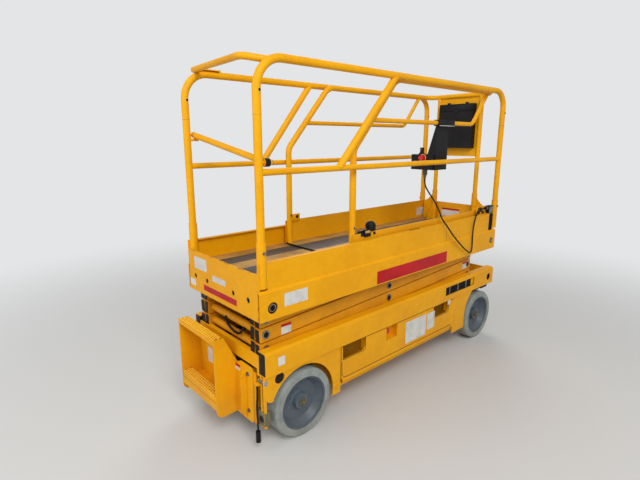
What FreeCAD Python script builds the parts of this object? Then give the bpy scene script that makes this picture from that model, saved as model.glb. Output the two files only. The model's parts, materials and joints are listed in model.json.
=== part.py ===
import FreeCAD, Part
import math
import os
from FreeCAD import Vector

# A compact electric slab scissor lift, standing on the floor with its arms folded.
# Millimetres. +X points to the steered end with the slide-out deck, -X to the
# entry step, +Y to the left side seen from the step, +Z up. X = 0 is the middle
# of the overall length, Y = 0 the centreline, Z = 0 the floor.

# Overall
half_width = 390.0           # centreline to the outer faces of beams and apron
half_arm = 1030.0            # an arm's centre pin to its end pins
deck_length = 2 * half_arm + 380.0
step_reach = 115.0           # the step's rear face behind the main deck
nose_reach = 25.0            # the chassis front ahead of the main deck
deck_mid_x = (step_reach - nose_reach) / 2
deck_rear_x = deck_mid_x - deck_length / 2
deck_front_x = deck_mid_x + deck_length / 2
touch_gap = 0.3              # between pieces that rest on each other across a joint
run_gap = 0.05               # radial clearance of a pin in its bore
swing_gap = 5.0              # between pieces that pass each other

# Wheels
tyre_radius = 206.0
tyre_depth = 46.0
tyre_width = 127.0
wheel_inset = 2.0            # tyre side wall inside the overall width
shoulder_radius = 14.0
axle_radius = 22.0
axle_cover = 45.0            # wheel's outer face to the axle's end
hub_gap = 2.0
wheel_tail = 84.0            # deck's rear end to the rear tyre
rim_radius = tyre_radius - tyre_depth
rear_wheel_x = deck_rear_x + tyre_radius + wheel_tail
front_wheel_x = deck_front_x - 180.0
wheel_outer_y = half_width - wheel_inset
wheel_inner_y = wheel_outer_y - tyre_width
wheel_mid_y = wheel_outer_y - tyre_width / 2

# Chassis beams
beam_gap = 48.0              # above the tyres
beam_bottom = 2 * tyre_radius + beam_gap
beam_height = 140.0
beam_flange = 65.0
beam_chamfer = 14.0
plate = 6.0
thick_plate = 8.0
chassis_rear_x = deck_rear_x + 25.0
chassis_front_x = deck_front_x + nose_reach
beam_top = beam_bottom + beam_height
beam_web_y = half_width - plate
beam_inner_y = half_width - beam_flange
window_length = 430.0
window_height = 68.0
window_bottom = beam_bottom + 45.0
window_front_x = front_wheel_x - 110.0
lash_radius = 30.0
lash_x = chassis_front_x - 75.0
lash_z = beam_bottom + 64.0

# Chassis plates between and below the beams
side_plate_outer_y = half_width - 12.0
side_plate_inner_y = side_plate_outer_y - plate
side_plate_rear_x = chassis_rear_x - 10.0
side_plate_bottom = 150.0
arch_gap = 29.0
front_arch_gap = 40.0
front_arch_radius = tyre_radius + front_arch_gap
front_arch_x = front_wheel_x + 27.0
front_arch_z = tyre_radius + 37.0
front_arch_foot_x = front_wheel_x - tyre_radius - 13.0
rear_corner_bottom = 300.0
rear_corner_radius = 60.0
tail_hole_radius = 32.0
tail_hole_x = chassis_rear_x + 98.0
tail_hole_z = beam_bottom - 36.0
rear_bulkhead_x = rear_wheel_x + 290.0
front_bulkhead_x = front_wheel_x - 340.0
bulkhead_top = beam_bottom - 10.0
spine_half_width = half_width - 230.0
spine_bottom = 170.0
nose_half_width = 95.0
nose_bottom = 250.0
nose_top = beam_bottom - 50.0
axle_box_half_width = wheel_inner_y - 33.0
axle_box_half_length = 80.0
axle_box_bottom = 120.0
axle_box_top = 290.0
axle_boss_radius = 60.0
tail_wall_bottom = 200.0
tail_plate_half_width = half_width - 100.0
tail_plate_bottom = 140.0
tail_gap_height = 40.0
cross_height = 77.0
cross_ledge = 28.0
cross_post = 20.0
cross_bottom = bulkhead_top + tail_gap_height

# Steering
kingpin_radius = 18.0
knuckle_bottom = 140.0
knuckle_plate = 16.0
knuckle_leg = 18.0
knuckle_leg_gap = 22.0
knuckle_half_length = 45.0
hub_boss_radius = 52.0
steer_arm_length = 90.0
steer_arm_half_width = 15.0
tie_pin_radius = 7.0
tie_eye_radius = 15.0
tie_eye_height = 11.0
tie_rod_radius = 4.5
carrier_thickness = 15.0
carrier_half_length = 55.0
thrust_radius = 30.0
knuckle_top = beam_bottom - 20.0

# Scissor stack
stages = 4
stage_rise = 86.0            # height of one stage when folded
arm_depth = 78.0
arm_thickness = 40.0
arm_overhang = 42.0          # a square arm end past its pin
arm_corner = 9.0
shaft_radius = 22.0
cross_tube_radius = 36.0
cross_tube_in = 120.0        # cross tube's middle to the end pin
lower_roller_radius = 34.0
upper_roller_radius = 28.0
lift_degrees = 38.4
pivot_x = deck_rear_x + 80.0
fold_angle = math.asin(stage_rise / (2 * half_arm))
slider_x = pivot_x + 2 * half_arm * math.cos(fold_angle)
raised_x = pivot_x + 2 * half_arm * math.cos(fold_angle + math.radians(lift_degrees))
base_pivot_z = beam_bottom + plate + touch_gap + lower_roller_radius
top_pivot_z = base_pivot_z + stages * stage_rise
arm_outer_y = beam_inner_y - swing_gap
outer_arm_y = arm_outer_y - arm_thickness
inner_arm_y = outer_arm_y - swing_gap - arm_thickness
roller_inner_y = arm_outer_y + 10.0
roller_outer_y = beam_web_y - 12.0

# Lift cylinder
foot_pin_radius = 20.0
foot_pin_x = front_bulkhead_x - 350.0
foot_pin_z = beam_bottom - 60.0
foot_eye_radius = 38.0
barrel_radius = 45.0
barrel_collar = 6.0
barrel_collar_length = 40.0
barrel_notch = 65.0          # half width of the notch under the barrel
barrel_end_gap = 130.0       # from the barrel's open end to the rod's eye, folded
rod_radius = 25.0
rod_bury = 700.0
eye_half_width = 30.0
head_along = 700.0           # rod's eye, behind the centre pin along the lowest inner arm
head_below = 60.0
head_tube_along = 665.0
head_tube_radius = 20.0
ear_radius = 26.0
clevis_gap = 8.5
clevis_side_gap = 1.5
clevis_plate = 12.0
clevis_half_height = 27.0
clevis_slot = 95.0
clevis_head_radius = 17.0
clevis_head = 8.0

# Main deck, above the top pins
deck_plate = 6.0
deck_top = top_pivot_z + 110.7
deck_plate_bottom = deck_top - deck_plate
deck_bottom = deck_top - 175.0
deck_ridge = deck_top - 24.0
skirt_top = deck_top + 131.0
skirt_step = 12.0
skirt_upper_y = half_width - skirt_step
skirt_lip = 26.0
deck_edge_y = skirt_upper_y - plate
rib_count = 6
rib_width = 40.0
rib_height = 24.0
channel_end_gap = 70.0
hanger_length = 30.0
ear_half_length = 45.0
rear_panel_top = deck_top + 77.0
rear_panel_lip = 9.0
rear_panel_lip_height = 4.0
rear_hole_radius = 15.0
rear_hole_z = deck_bottom + 97.0
rear_hole_ys = (298.0, 153.0, -136.0, -284.0)
tube_hole_radius = 31.0
guide_slot_x = deck_front_x - 78.0
guide_slot_length = 40.0
guide_slot_height = 130.0

# Outer guard rails
rail_y = half_width - 25.0
rail_radius = 21.0
mid_rail_radius = 17.0
rail_height = 1110.0
mid_rail_height = 580.0
rail_top_z = deck_top + rail_height
mid_rail_z = deck_top + mid_rail_height
socket_radius = 25.0
socket_top = deck_top + 235.0
post_overlap = 30.0
rear_post_x = deck_rear_x + 35.0
front_post_x = deck_front_x - 5.0
rear_bend = 150.0
front_bend = 130.0
brace_radius = 21.0
brace_foot_back = {"near": 650.0, "far": 660.0}
brace_foot_x = {side: deck_mid_x - back for side, back in brace_foot_back.items()}
brace_head_x = {"near": deck_mid_x - 170.0, "far": deck_mid_x - 230.0}

# Entry bars
drop_pivot_z = mid_rail_z + 47.0
drop_far_z = mid_rail_z + 181.0
drop_radius = 17.0
drop_offset = 44.0
drop_eye_radius = 20.0
drop_eye_width = 36.0
drop_pin_radius = 8.0
drop_pin_head = 14.0
drop_rest_radius = 8.0
drop_rest_in = 10.0
drop_end = 8.0               # the bar's end past the far post's middle
bow_radius = 17.0
bow_out = 22.0               # the bow's bend behind the rear posts
bow_bend = 60.0
bow_inset = 90.0
bow_fall = 8.0               # the bow's bend below its ends' middle height
bow_z = rail_top_z + 13.0
bow_tab_half_width = 28.0
bow_tab = 80.0               # the tab's end past the near end of the rear bend

# Slide-out deck
slide_half_width = half_width - 57.0
slide_back = 495.0
slide_rear_x = deck_mid_x - slide_back
slide_front_x = deck_front_x - 14.0
slide_floor_bottom = deck_top + 5.0
slide_floor = 6.0
slide_board = 4.0
slide_board_top = slide_floor_bottom + 165.0
runner_width = 20.0
runner_length = 300.0
runner_in = 40.0
slide_floor_top = slide_floor_bottom + slide_floor

# Rails of the slide-out deck
inner_rail_y = slide_half_width - 25.0
inner_rail_radius = 20.0
inner_mid_radius = 15.0
inner_top_z = rail_top_z - 8.0
inner_mid_z = mid_rail_z + 270.0
inner_knee_z = mid_rail_z + 95.0
inner_post_x = slide_rear_x + 20.0
inner_head_x = inner_post_x + 375.0
inner_front_x = slide_front_x - 36.0
inner_rise_x = {"near": inner_front_x - 320.0, "far": inner_front_x - 370.0}
inner_rise_run = 210.0
inner_bend = 110.0
knee_bend = 90.0
head_bend = 120.0
rise_bend = 70.0
front_post_y = slide_half_width - 133.0
front_post_radius = 18.0
panel_plate = 4.0
panel_height = 507.0
panel_bottom = inner_top_z - panel_height
gusset_height = 130.0
gusset_length = 90.0

# Document box
book_depth = 60.0
book_half_width = front_post_y - 40.0
book_bottom = inner_top_z - 437.0
book_top = inner_top_z - 70.0
book_knob_radius = 13.0
book_knob_height = 13.0
book_knob_y = 85.0

# Control box
hook_length = 205.0
hook_plate = 6.0
hook_back = 486.0
hook_rear_x = inner_rise_x["near"] - hook_back
stand_width = 150.0
stand_plate = 10.0
stand_lean = 60.0
box_rear_x = hook_rear_x + 15.0
box_length = 170.0
box_reach = 190.0
box_height = 110.0
box_bottom = inner_mid_z - 332.0
box_wall_y = inner_rail_y - inner_mid_radius - hook_plate
box_end_y = box_wall_y - box_reach
control_x = box_rear_x + 60.0
stop_radius = 20.0
stop_plate_radius = 25.0
stop_stem_radius = 10.0
stop_height = 28.0
stop_in = 101.0              # its middle from the box's far wall
stop_y = -(box_end_y + stop_in)
stick_radius = 9.0
stick_boot_radius = 24.0
stick_grip_radius = 15.0
stick_height = 50.0
stick_in = 71.0
stick_in_x = 30.0
plug_radius = 17.0
plug_length = 62.0
plug_inset = 85.0

# Deck lock
lock_x = deck_mid_x - 360.0
lock_half_length = 80.0
lock_plate = 8.0
lock_height = 45.0
lock_above = 15.0             # its top above the board
lock_seat_half_length = 32.0
lock_knob_radius = 32.0
lock_knob_rise = 22.0
lock_knob_in = 30.0

# Cable socket on the near skirt
outlet_length = 70.0
outlet_height = 66.0
outlet_x = front_post_x - 120.0
gland_radius = 11.0
gland_length = 30.0
gland_y = skirt_upper_y - 15.0
gland_z = skirt_top + 48.0

# Trays
tray_gap = 10.0
door_bottom = 205.0
door_thickness = 8.0
door_corner = 35.0
door_top = beam_bottom - swing_gap
door_rear_x = rear_bulkhead_x + thick_plate + tray_gap
door_inner_y = side_plate_outer_y - door_thickness
hinge_radius = 9.0
hinge_pin_radius = 5.0
hinge_x = front_bulkhead_x - 70.0
hinge_y = side_plate_outer_y - door_thickness / 2
hinge_low = door_bottom + 10.0
hinge_high = beam_bottom - 15.0
hinge_knuckle = 30.0
hinge_slit = 1.0
door_front_x = hinge_x - hinge_radius - hinge_slit
notch_width = 205.0
notch_depth = 95.0
notch_corner = 40.0
notch_front_gap = 50.0
recess_depth = 42.0
recess_plate = 4.0
recess_border = 12.0
stop_recess_width = 118.0
stop_recess_depth = 100.0
stop_recess_x = deck_mid_x - 195.0
pan_depth = 190.0
pan_plate = 6.0
pan_wall = 4.0
pan_lift = 6.0
pan_height = 125.0
pan_rear_x = rear_bulkhead_x + 50.0
pan_front_x = hinge_x - 70.0
load_gap = 10.0
unit_length = 480.0
unit_top = 400.0
battery_top = 425.0

# Pothole guards
guard_y = side_plate_inner_y - 22.0
guard_z = door_bottom - 17.0
guard_tube_radius = 10.0
guard_pin_radius = 8.0
guard_width = 95.0
guard_plate = 6.0
guard_lip = 13.0
guard_lip_height = 18.0

# Entry step
step_rear_x = deck_rear_x - step_reach
step_near_y = -98.0
step_far_y = half_width - 56.0
step_plate = 8.0
step_top = 615.0
step_bottom = 130.0
step_corner = 45.0
top_tread_depth = 63.0
low_tread_top = 230.0
tread_lip = 45.0
step_cut = 155.0
flange_outer_y = half_width - 120.0
flange_top = beam_bottom + 15.0
flange_bottom = 136.0
flange_corner = 25.0

# Rear corner fittings
guide_bar_width = 14.0
guide_bar_depth = 12.0
inlet_bottom = 165.0
inlet_height = 80.0
inlet_width = 54.0
inlet_depth = 40.0
pin_radius = 13.0
pin_z_height = beam_bottom - 35.0

# Charging lead
lead_radius = 5.0
lead_y = -(side_plate_inner_y - 50.0)
lead_x = chassis_rear_x - 13.0
lead_top = pin_z_height - 25.0
lead_plug_radius = 14.0
lead_plug_top = 118.0
lead_plug_bottom = 52.0

SIDES = (("near", -1), ("far", 1))


# Building blocks

def box(x0, y0, z0, x1, y1, z1):
    """A block between two corners, given in any order."""
    low = Vector(min(x0, x1), min(y0, y1), min(z0, z1))
    high = Vector(max(x0, x1), max(y0, y1), max(z0, z1))
    size = high - low
    return Part.makeBox(size.x, size.y, size.z, low)


def round_x(radius, x0, x1, y, z):
    return Part.makeCylinder(radius, x1 - x0, Vector(x0, y, z), Vector(1, 0, 0))


def round_y(radius, x, y0, y1, z):
    low, high = min(y0, y1), max(y0, y1)
    return Part.makeCylinder(radius, high - low, Vector(x, low, z), Vector(0, 1, 0))


def round_z(radius, x, y, z0, z1):
    return Part.makeCylinder(radius, z1 - z0, Vector(x, y, z0), Vector(0, 0, 1))


def bar(radius, start, end):
    start, end = Vector(*start), Vector(*end)
    return Part.makeCylinder(radius, (end - start).Length, start, end - start)


def fuse(pieces):
    """One solid from pieces that meet."""
    whole = pieces[0].multiFuse(pieces[1:]) if len(pieces) > 1 else pieces[0]
    whole = whole.removeSplitter()
    return whole.Solids[0] if len(whole.Solids) == 1 else whole


def largest(shape):
    return max(shape.Solids, key=lambda solid: solid.Volume)


def corner_arc(before, corner, after, radius):
    """The arc that rounds a corner, with its two ends."""
    back = (before - corner).normalize()
    ahead = (after - corner).normalize()
    half = back.getAngle(ahead) / 2
    reach = radius / math.tan(half)
    enter, leave = corner + back * reach, corner + ahead * reach
    inward = (back + ahead).normalize()
    middle = corner + inward * (radius / math.sin(half) - radius)
    return enter, middle, leave


def closed_wire(points, radii):
    """A closed outline through the points, with the corners rounded where a radius is given."""
    edges = []
    count = len(points)
    starts = []
    for i, (corner, radius) in enumerate(zip(points, radii)):
        if radius:
            enter, middle, leave = corner_arc(points[i - 1], corner, points[(i + 1) % count], radius)
            starts.append((enter, leave))
            edges.append(Part.Arc(enter, middle, leave).toShape())
        else:
            starts.append((corner, corner))
    for i in range(count):
        begin, end = starts[i][1], starts[(i + 1) % count][0]
        if (end - begin).Length > 1e-6:
            edges.append(Part.LineSegment(begin, end).toShape())
    return Part.Wire(Part.__sortEdges__(edges))


def plate_xz(outline, y0, y1):
    """A plate between two y values with an outline of (x, z) or (x, z, corner radius)."""
    low, high = min(y0, y1), max(y0, y1)
    points = [Vector(corner[0], low, corner[1]) for corner in outline]
    radii = [corner[2] if len(corner) > 2 else 0 for corner in outline]
    return Part.Face(closed_wire(points, radii)).extrude(Vector(0, high - low, 0))


def plate_yz(outline, x0, x1):
    """A plate between two x values with an outline of (y, z) or (y, z, corner radius)."""
    points = [Vector(x0, corner[0], corner[1]) for corner in outline]
    radii = [corner[2] if len(corner) > 2 else 0 for corner in outline]
    return Part.Face(closed_wire(points, radii)).extrude(Vector(x1 - x0, 0, 0))


def bent_path(points, radii):
    """Straight runs through the points, joined by tangent arcs of the given radii."""
    points = [Vector(*p) for p in points]
    edges, start = [], points[0]
    for before, corner, after, radius in zip(points, points[1:], points[2:], radii):
        enter, middle, leave = corner_arc(before, corner, after, radius)
        if (enter - start).Length > 1e-6:
            edges.append(Part.LineSegment(start, enter).toShape())
        edges.append(Part.Arc(enter, middle, leave).toShape())
        start = leave
    edges.append(Part.LineSegment(start, points[-1]).toShape())
    return Part.Wire(edges)


def bent_tube(points, radii, radius):
    """A round bar along straight runs and arcs."""
    along = Vector(*points[1]) - Vector(*points[0])
    section = Part.Wire(Part.makeCircle(radius, Vector(*points[0]), along))
    return bent_path(points, radii).makePipeShell([section], True, False)


def cord(name, route, radius):
    """A round cord along a route, each arc as large as its two runs allow."""
    points = [Vector(*p) for p in route]
    radii = []
    for before, corner, after in zip(points, points[1:], points[2:]):
        turn = (corner - before).getAngle(after - corner)
        shorter = min((corner - before).Length, (after - corner).Length)
        radii.append(0.45 * shorter / math.tan(turn / 2))
    tube = bent_tube(route, radii, radius)
    length = bent_path(route, radii).Length
    ratio = tube.Volume / (math.pi * radius ** 2 * length)
    print(name, "length", round(length), "volume over section and length", round(ratio, 4))
    print(name, "radii", [round(r) for r in radii])
    print(name, "runs", [round((b - a).Length) for a, b in zip(points, points[1:])])
    return tube


def turned(outline, x, side):
    """A round solid about a wheel's axle at x.

    outline: (radius, depth) points, depth measured inwards from the wheel's outer face.
    """
    points = [Vector(r, 0, -depth) for r, depth in outline + outline[:1]]
    solid = Part.Face(Part.makePolygon(points)).revolve(Vector(0, 0, 0), Vector(0, 0, 1), 360)
    solid.rotate(Vector(0, 0, 0), Vector(1, 0, 0), -90 * side)
    solid.translate(Vector(x, side * wheel_outer_y, tyre_radius))
    return solid


# Chassis

def chassis_beam(side):
    """A channel with its open face inwards and its outer top edge bevelled."""
    outer, inner, web = side * half_width, side * beam_inner_y, side * beam_web_y
    bevel = side * (half_width - beam_chamfer)
    shoulder = beam_top - beam_chamfer
    section = [(outer, beam_bottom), (outer, shoulder), (bevel, beam_top),
               (inner, beam_top), (inner, beam_top - plate), (bevel, beam_top - plate),
               (web, shoulder), (web, beam_bottom + plate),
               (inner, beam_bottom + plate), (inner, beam_bottom)]
    channel = plate_yz(section, chassis_rear_x, chassis_front_x)
    window = box(window_front_x - window_length, web - side * plate, window_bottom,
                 window_front_x, outer + side * plate, window_bottom + window_height)
    lash = round_y(lash_radius, lash_x, web - side, outer + side, lash_z)
    return channel.cut(window).cut(lash)


def bulkhead(x):
    """A cross plate below the arms, with ears up to the beams and guard pin holes."""
    pieces = [box(x, -side_plate_inner_y, spine_bottom, x + thick_plate, side_plate_inner_y,
                  bulkhead_top)]
    for _, side in SIDES:
        pieces.append(box(x, side * beam_inner_y, bulkhead_top, x + thick_plate,
                          side * side_plate_inner_y, beam_bottom))
    wall = fuse(pieces)
    for _, side in SIDES:
        wall = wall.cut(round_x(guard_pin_radius + run_gap, x - 1, x + thick_plate + 1,
                                side * guard_y, guard_z))
    return wall


def nose():
    """The cross plate that holds both kingpins, on the beam of the nose."""
    x = front_wheel_x
    carrier = box(x - carrier_half_length, -beam_web_y, beam_bottom,
                  x + carrier_half_length, beam_web_y, beam_bottom + carrier_thickness)
    block_half = nose_half_width - 35
    block = box(x, -block_half, nose_top, x + 80, block_half, beam_bottom)
    beam = box(front_bulkhead_x + thick_plate, -nose_half_width, nose_bottom,
               chassis_front_x, nose_half_width, nose_top)
    toe = box(chassis_front_x - thick_plate, -nose_half_width, nose_bottom,
              chassis_front_x, nose_half_width, beam_bottom)
    face = box(chassis_front_x - thick_plate, -beam_web_y, beam_bottom,
               chassis_front_x, beam_web_y, beam_top - beam_chamfer)
    return [carrier, block, beam, toe, face]


def tail():
    """Walls beside the rear axle, the tail plate and the cross member above it."""
    x0, x1 = chassis_rear_x, chassis_rear_x + thick_plate
    pieces = []
    for _, side in SIDES:
        low, high = side * axle_box_half_width, side * (axle_box_half_width + plate)
        wall = box(x1, low, tail_wall_bottom, rear_bulkhead_x, high, bulkhead_top)
        pieces.append(wall.cut(round_y(axle_boss_radius, rear_wheel_x, low, high, tyre_radius)))
        pieces.append(box(x0, side * (beam_inner_y - cross_post), bulkhead_top,
                          x1, side * beam_inner_y, cross_bottom))
    pieces.append(box(x0, -tail_plate_half_width, tail_plate_bottom, x1,
                      tail_plate_half_width, bulkhead_top))
    pieces.append(box(x0, -beam_inner_y, cross_bottom, x1, beam_inner_y,
                      cross_bottom + cross_height))
    ledge_y = inner_arm_y - swing_gap
    pieces.append(box(x0, -ledge_y, cross_bottom + cross_height - plate, x0 + cross_ledge,
                      ledge_y, cross_bottom + cross_height))
    return pieces


def chassis_frame():
    """Both beams, both bulkheads, the spine between the trays, the nose and the tail."""
    pieces = [chassis_beam(side) for _, side in SIDES]
    pieces += [bulkhead(rear_bulkhead_x), bulkhead(front_bulkhead_x)] + nose() + tail()
    x0 = rear_bulkhead_x + thick_plate
    pieces.append(box(x0, -spine_half_width, spine_bottom, front_bulkhead_x,
                      spine_half_width, spine_bottom + plate))
    for _, side in SIDES:
        pieces.append(box(x0, side * (spine_half_width - plate), spine_bottom,
                          front_bulkhead_x, side * spine_half_width, bulkhead_top - plate))
        pieces.append(round_y(shaft_radius, pivot_x, side * outer_arm_y,
                              side * beam_web_y, base_pivot_z))
    inner = spine_half_width - plate
    pieces.append(round_y(foot_pin_radius, foot_pin_x, -inner, inner, foot_pin_z))
    notch = box(rear_bulkhead_x - 1, -barrel_notch, bulkhead_top - barrel_radius,
                rear_bulkhead_x + thick_plate + 1, barrel_notch, bulkhead_top + 1)
    frame = fuse(pieces).cut(notch)
    for _, side in SIDES:
        frame = frame.cut(round_z(kingpin_radius + run_gap, front_wheel_x, side * wheel_mid_y,
                                  beam_bottom - 1, beam_bottom + carrier_thickness + 1))
    return frame


def side_plates(side):
    """The two outer plates of one side, with their wheel arches and door hinge."""
    outer, inner = side * side_plate_outer_y, side * side_plate_inner_y
    front_of_tail = rear_bulkhead_x + thick_plate
    rear = plate_xz([(side_plate_rear_x, beam_bottom),
                     (side_plate_rear_x, rear_corner_bottom, rear_corner_radius),
                     (rear_wheel_x, rear_corner_bottom), (rear_wheel_x, side_plate_bottom),
                     (front_of_tail, side_plate_bottom), (front_of_tail, beam_bottom)],
                    inner, outer)
    rear = rear.cut(round_y(tyre_radius + arch_gap, rear_wheel_x, inner - side, outer + side,
                            tyre_radius))
    rear = rear.cut(round_y(tail_hole_radius, tail_hole_x, inner - side, outer + side,
                            tail_hole_z))
    front = box(hinge_x + tray_gap, inner, side_plate_bottom, front_arch_x, outer, beam_bottom)
    front = front.cut(round_y(front_arch_radius, front_arch_x, inner - side, outer + side,
                              front_arch_z))
    front = front.cut(box(front_arch_foot_x, inner - side, side_plate_bottom - 1,
                          front_arch_x + 1, outer + side, front_arch_z))
    hinge = [front, round_z(hinge_pin_radius, hinge_x, side * hinge_y, hinge_low, hinge_high)]
    for low in (hinge_low, hinge_high - hinge_knuckle):
        hinge.append(round_z(hinge_radius, hinge_x, side * hinge_y, low, low + hinge_knuckle))
        hinge.append(box(hinge_x, inner, low, hinge_x + tray_gap, outer, low + hinge_knuckle))
    return Part.Compound([largest(rear), fuse(hinge)])


def rear_axle():
    """The drive housing with a hub and an axle stub on each side."""
    pieces = [box(rear_wheel_x - axle_box_half_length, -axle_box_half_width, axle_box_bottom,
                  rear_wheel_x + axle_box_half_length, axle_box_half_width, axle_box_top)]
    for _, side in SIDES:
        pieces.append(round_y(axle_boss_radius, rear_wheel_x, side * axle_box_half_width,
                              side * (wheel_inner_y - hub_gap), tyre_radius))
        pieces.append(round_y(axle_radius, rear_wheel_x, side * axle_box_half_width,
                              side * (wheel_outer_y - axle_cover), tyre_radius))
    return fuse(pieces)


def step_cheek(y):
    outline = [(step_rear_x, step_top), (step_rear_x + top_tread_depth, step_top),
               (chassis_rear_x, step_top - step_cut), (chassis_rear_x, step_bottom + step_plate),
               (step_rear_x, step_bottom, step_corner)]
    return plate_xz(outline, y, y + step_plate)


def entry_step():
    """Two cheeks, a top tread, a low tread and a bent back panel, on the tail plate."""
    near, far = step_near_y, step_far_y - step_plate
    inside = near + step_plate
    tread_x = step_rear_x + top_tread_depth
    back_x = chassis_rear_x - step_plate
    bend_z = step_top - step_cut
    pieces = [step_cheek(near), step_cheek(far)]
    pieces.append(box(step_rear_x, inside, step_top - step_plate, tread_x, far, step_top))
    pieces.append(box(step_rear_x, inside, step_top - tread_lip * 0.6, step_rear_x + step_plate / 2,
                      far, step_top))
    pieces.append(box(step_rear_x, inside, low_tread_top - step_plate, back_x, far,
                      low_tread_top))
    pieces.append(box(step_rear_x, inside, low_tread_top - tread_lip, step_rear_x + step_plate,
                      far, low_tread_top))
    pieces.append(box(back_x, inside, low_tread_top - tread_lip, chassis_rear_x, far, bend_z))
    pieces.append(plate_xz([(tread_x - step_plate, step_top), (tread_x, step_top),
                            (chassis_rear_x, bend_z), (back_x, bend_z)], inside, far))
    outer = -flange_outer_y
    pieces.append(plate_yz([(near, flange_bottom), (near, flange_top - flange_corner),
                            (near - 2 * flange_corner, flange_top),
                            (outer, flange_top, flange_corner),
                            (outer, flange_bottom, flange_corner)], back_x, chassis_rear_x))
    return fuse(pieces)


def tail_fittings():
    """Guide bars, a charging inlet block and a tow pin at the near rear corner."""
    x, outer = chassis_rear_x, -side_plate_inner_y
    inner = outer + inlet_width - guide_bar_width
    bars = [box(x, y, side_plate_bottom, x + guide_bar_depth, y + guide_bar_width, beam_bottom)
            for y in (outer, inner - guide_bar_width)]
    block = box(x - plate, outer, inlet_bottom, x - plate + inlet_depth, outer + inlet_width,
                inlet_bottom + inlet_height)
    pin = round_y(pin_radius, x + plate, outer, outer + inlet_width, pin_z_height)
    hook = box(lead_x - plate, lead_y - 12, lead_top, x + plate, lead_y + 12, lead_top + 12)
    arm_plate = box(x, outer + inlet_width - 1, lead_top, x + plate, lead_y + 12, lead_top + 12)
    return fuse(bars + [block, pin, hook, arm_plate])


# Trays and guards

def door_cut(x0, width, depth, corner, side):
    """The space of a finger notch or recess in a door."""
    inner = side * (door_inner_y - 1)
    outer = side * (side_plate_outer_y + 1)
    low = door_top - depth
    return plate_xz([(x0, door_top + 1), (x0, low), (x0 + width, low, corner),
                     (x0 + width, door_top + 1)], inner, outer)


def door_recess(x0, width, depth, side):
    """The plates behind a notch: back, floor and both ends."""
    face = side * door_inner_y
    back = side * (door_inner_y - recess_depth)
    deep = side * (door_inner_y - recess_depth - recess_plate)
    low = door_top - depth - recess_border
    x1, x2 = x0 - recess_border, x0 + width + recess_border
    high = door_top - recess_plate
    return [box(x1, back, low, x2, deep, high),
            box(x1, face, low, x2, deep, low + recess_plate),
            box(x1, face, low, x1 + recess_plate, deep, high),
            box(x2 - recess_plate, face, low, x2, deep, high)]


def tray(side):
    """A door panel on its hinge with finger notches, a recess and a pan behind it."""
    outer, inner = side * side_plate_outer_y, side * door_inner_y
    panel = plate_xz([(door_rear_x, door_top), (door_rear_x, door_bottom, door_corner),
                      (door_front_x, door_bottom, door_corner), (door_front_x, door_top)],
                     inner, outer)
    front_notch_x = door_front_x - notch_front_gap - notch_width
    cuts = [(door_rear_x + recess_border, notch_width, notch_depth, notch_corner),
            (front_notch_x, notch_width, notch_depth, notch_corner),
            (stop_recess_x, stop_recess_width, stop_recess_depth, 0)]
    back = []
    for x0, width, depth, corner in cuts:
        panel = panel.cut(door_cut(x0, width, depth, corner, side))
        back += door_recess(x0, width, depth, side)
    wall_y = door_inner_y - pan_depth
    low = door_bottom + pan_lift
    pan = [box(pan_rear_x, side * wall_y, low, pan_front_x, inner, low + pan_plate),
           box(pan_rear_x, side * wall_y, low, pan_front_x, side * (wall_y + pan_wall),
               low + pan_height)]
    for x in (pan_rear_x, pan_front_x - pan_wall):
        pan.append(box(x, side * wall_y, low, x + pan_wall, inner, low + pan_height))
    first, last = hinge_low + hinge_knuckle + 1, hinge_high - hinge_knuckle - 1
    knuckle_part = fuse([round_z(hinge_radius, hinge_x, side * hinge_y, first, last),
                         box(door_front_x - 1, inner, first, hinge_x, outer, last)])
    bore = round_z(hinge_pin_radius + run_gap, hinge_x, side * hinge_y, first - 1, last + 1)
    return fuse([panel, knuckle_part] + pan + back).cut(bore)


def tray_load(side, rear_x, front_x, top):
    """The heavy block on a tray's pan."""
    inner = side * (door_inner_y - recess_depth - recess_plate - load_gap)
    wall = side * (door_inner_y - pan_depth + load_gap)
    return box(rear_x, wall, door_bottom + pan_lift + pan_plate, front_x, inner, top)


def ground_stop():
    """The stop button in the near door's recess."""
    x = stop_recess_x + stop_recess_width * 0.3
    z = door_top - stop_recess_depth * 0.5
    back = -(door_inner_y - recess_depth)
    return fuse([round_y(stop_stem_radius, x, back, back - 20, z),
                 round_y(stop_radius, x, back - 20, back - 32, z)])


def pothole_guard(side):
    """A plate under the tray that swings down about its tube."""
    x0 = rear_bulkhead_x + thick_plate + 1
    x1 = front_bulkhead_x - 1
    tube = round_x(guard_tube_radius, x0, x1, side * guard_y, guard_z)
    pins = round_x(guard_pin_radius, rear_bulkhead_x, front_bulkhead_x + thick_plate,
                   side * guard_y, guard_z)
    low = guard_z - guard_tube_radius
    lip_y = guard_y + guard_lip
    flat = box(x0, side * lip_y, low, x1, side * (guard_y - guard_width), low + guard_plate)
    lip = box(x0, side * (lip_y - guard_plate), low, x1, side * lip_y, low + guard_lip_height)
    return fuse([tube, pins, flat, lip])


# Wheels and steering

def tyre(x, side):
    """A solid tyre with round shoulders."""
    r, s, width = tyre_radius, shoulder_radius, tyre_width
    turns = [math.radians(a) for a in (0, 30, 60, 90)]
    outer = [(r - s + s * math.cos(a), s - s * math.sin(a)) for a in reversed(turns)]
    inner = [(r - s + s * math.cos(a), width - s + s * math.sin(a)) for a in turns]
    return turned([(rim_radius, 0)] + outer + inner + [(rim_radius, width)], x, side)


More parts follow.
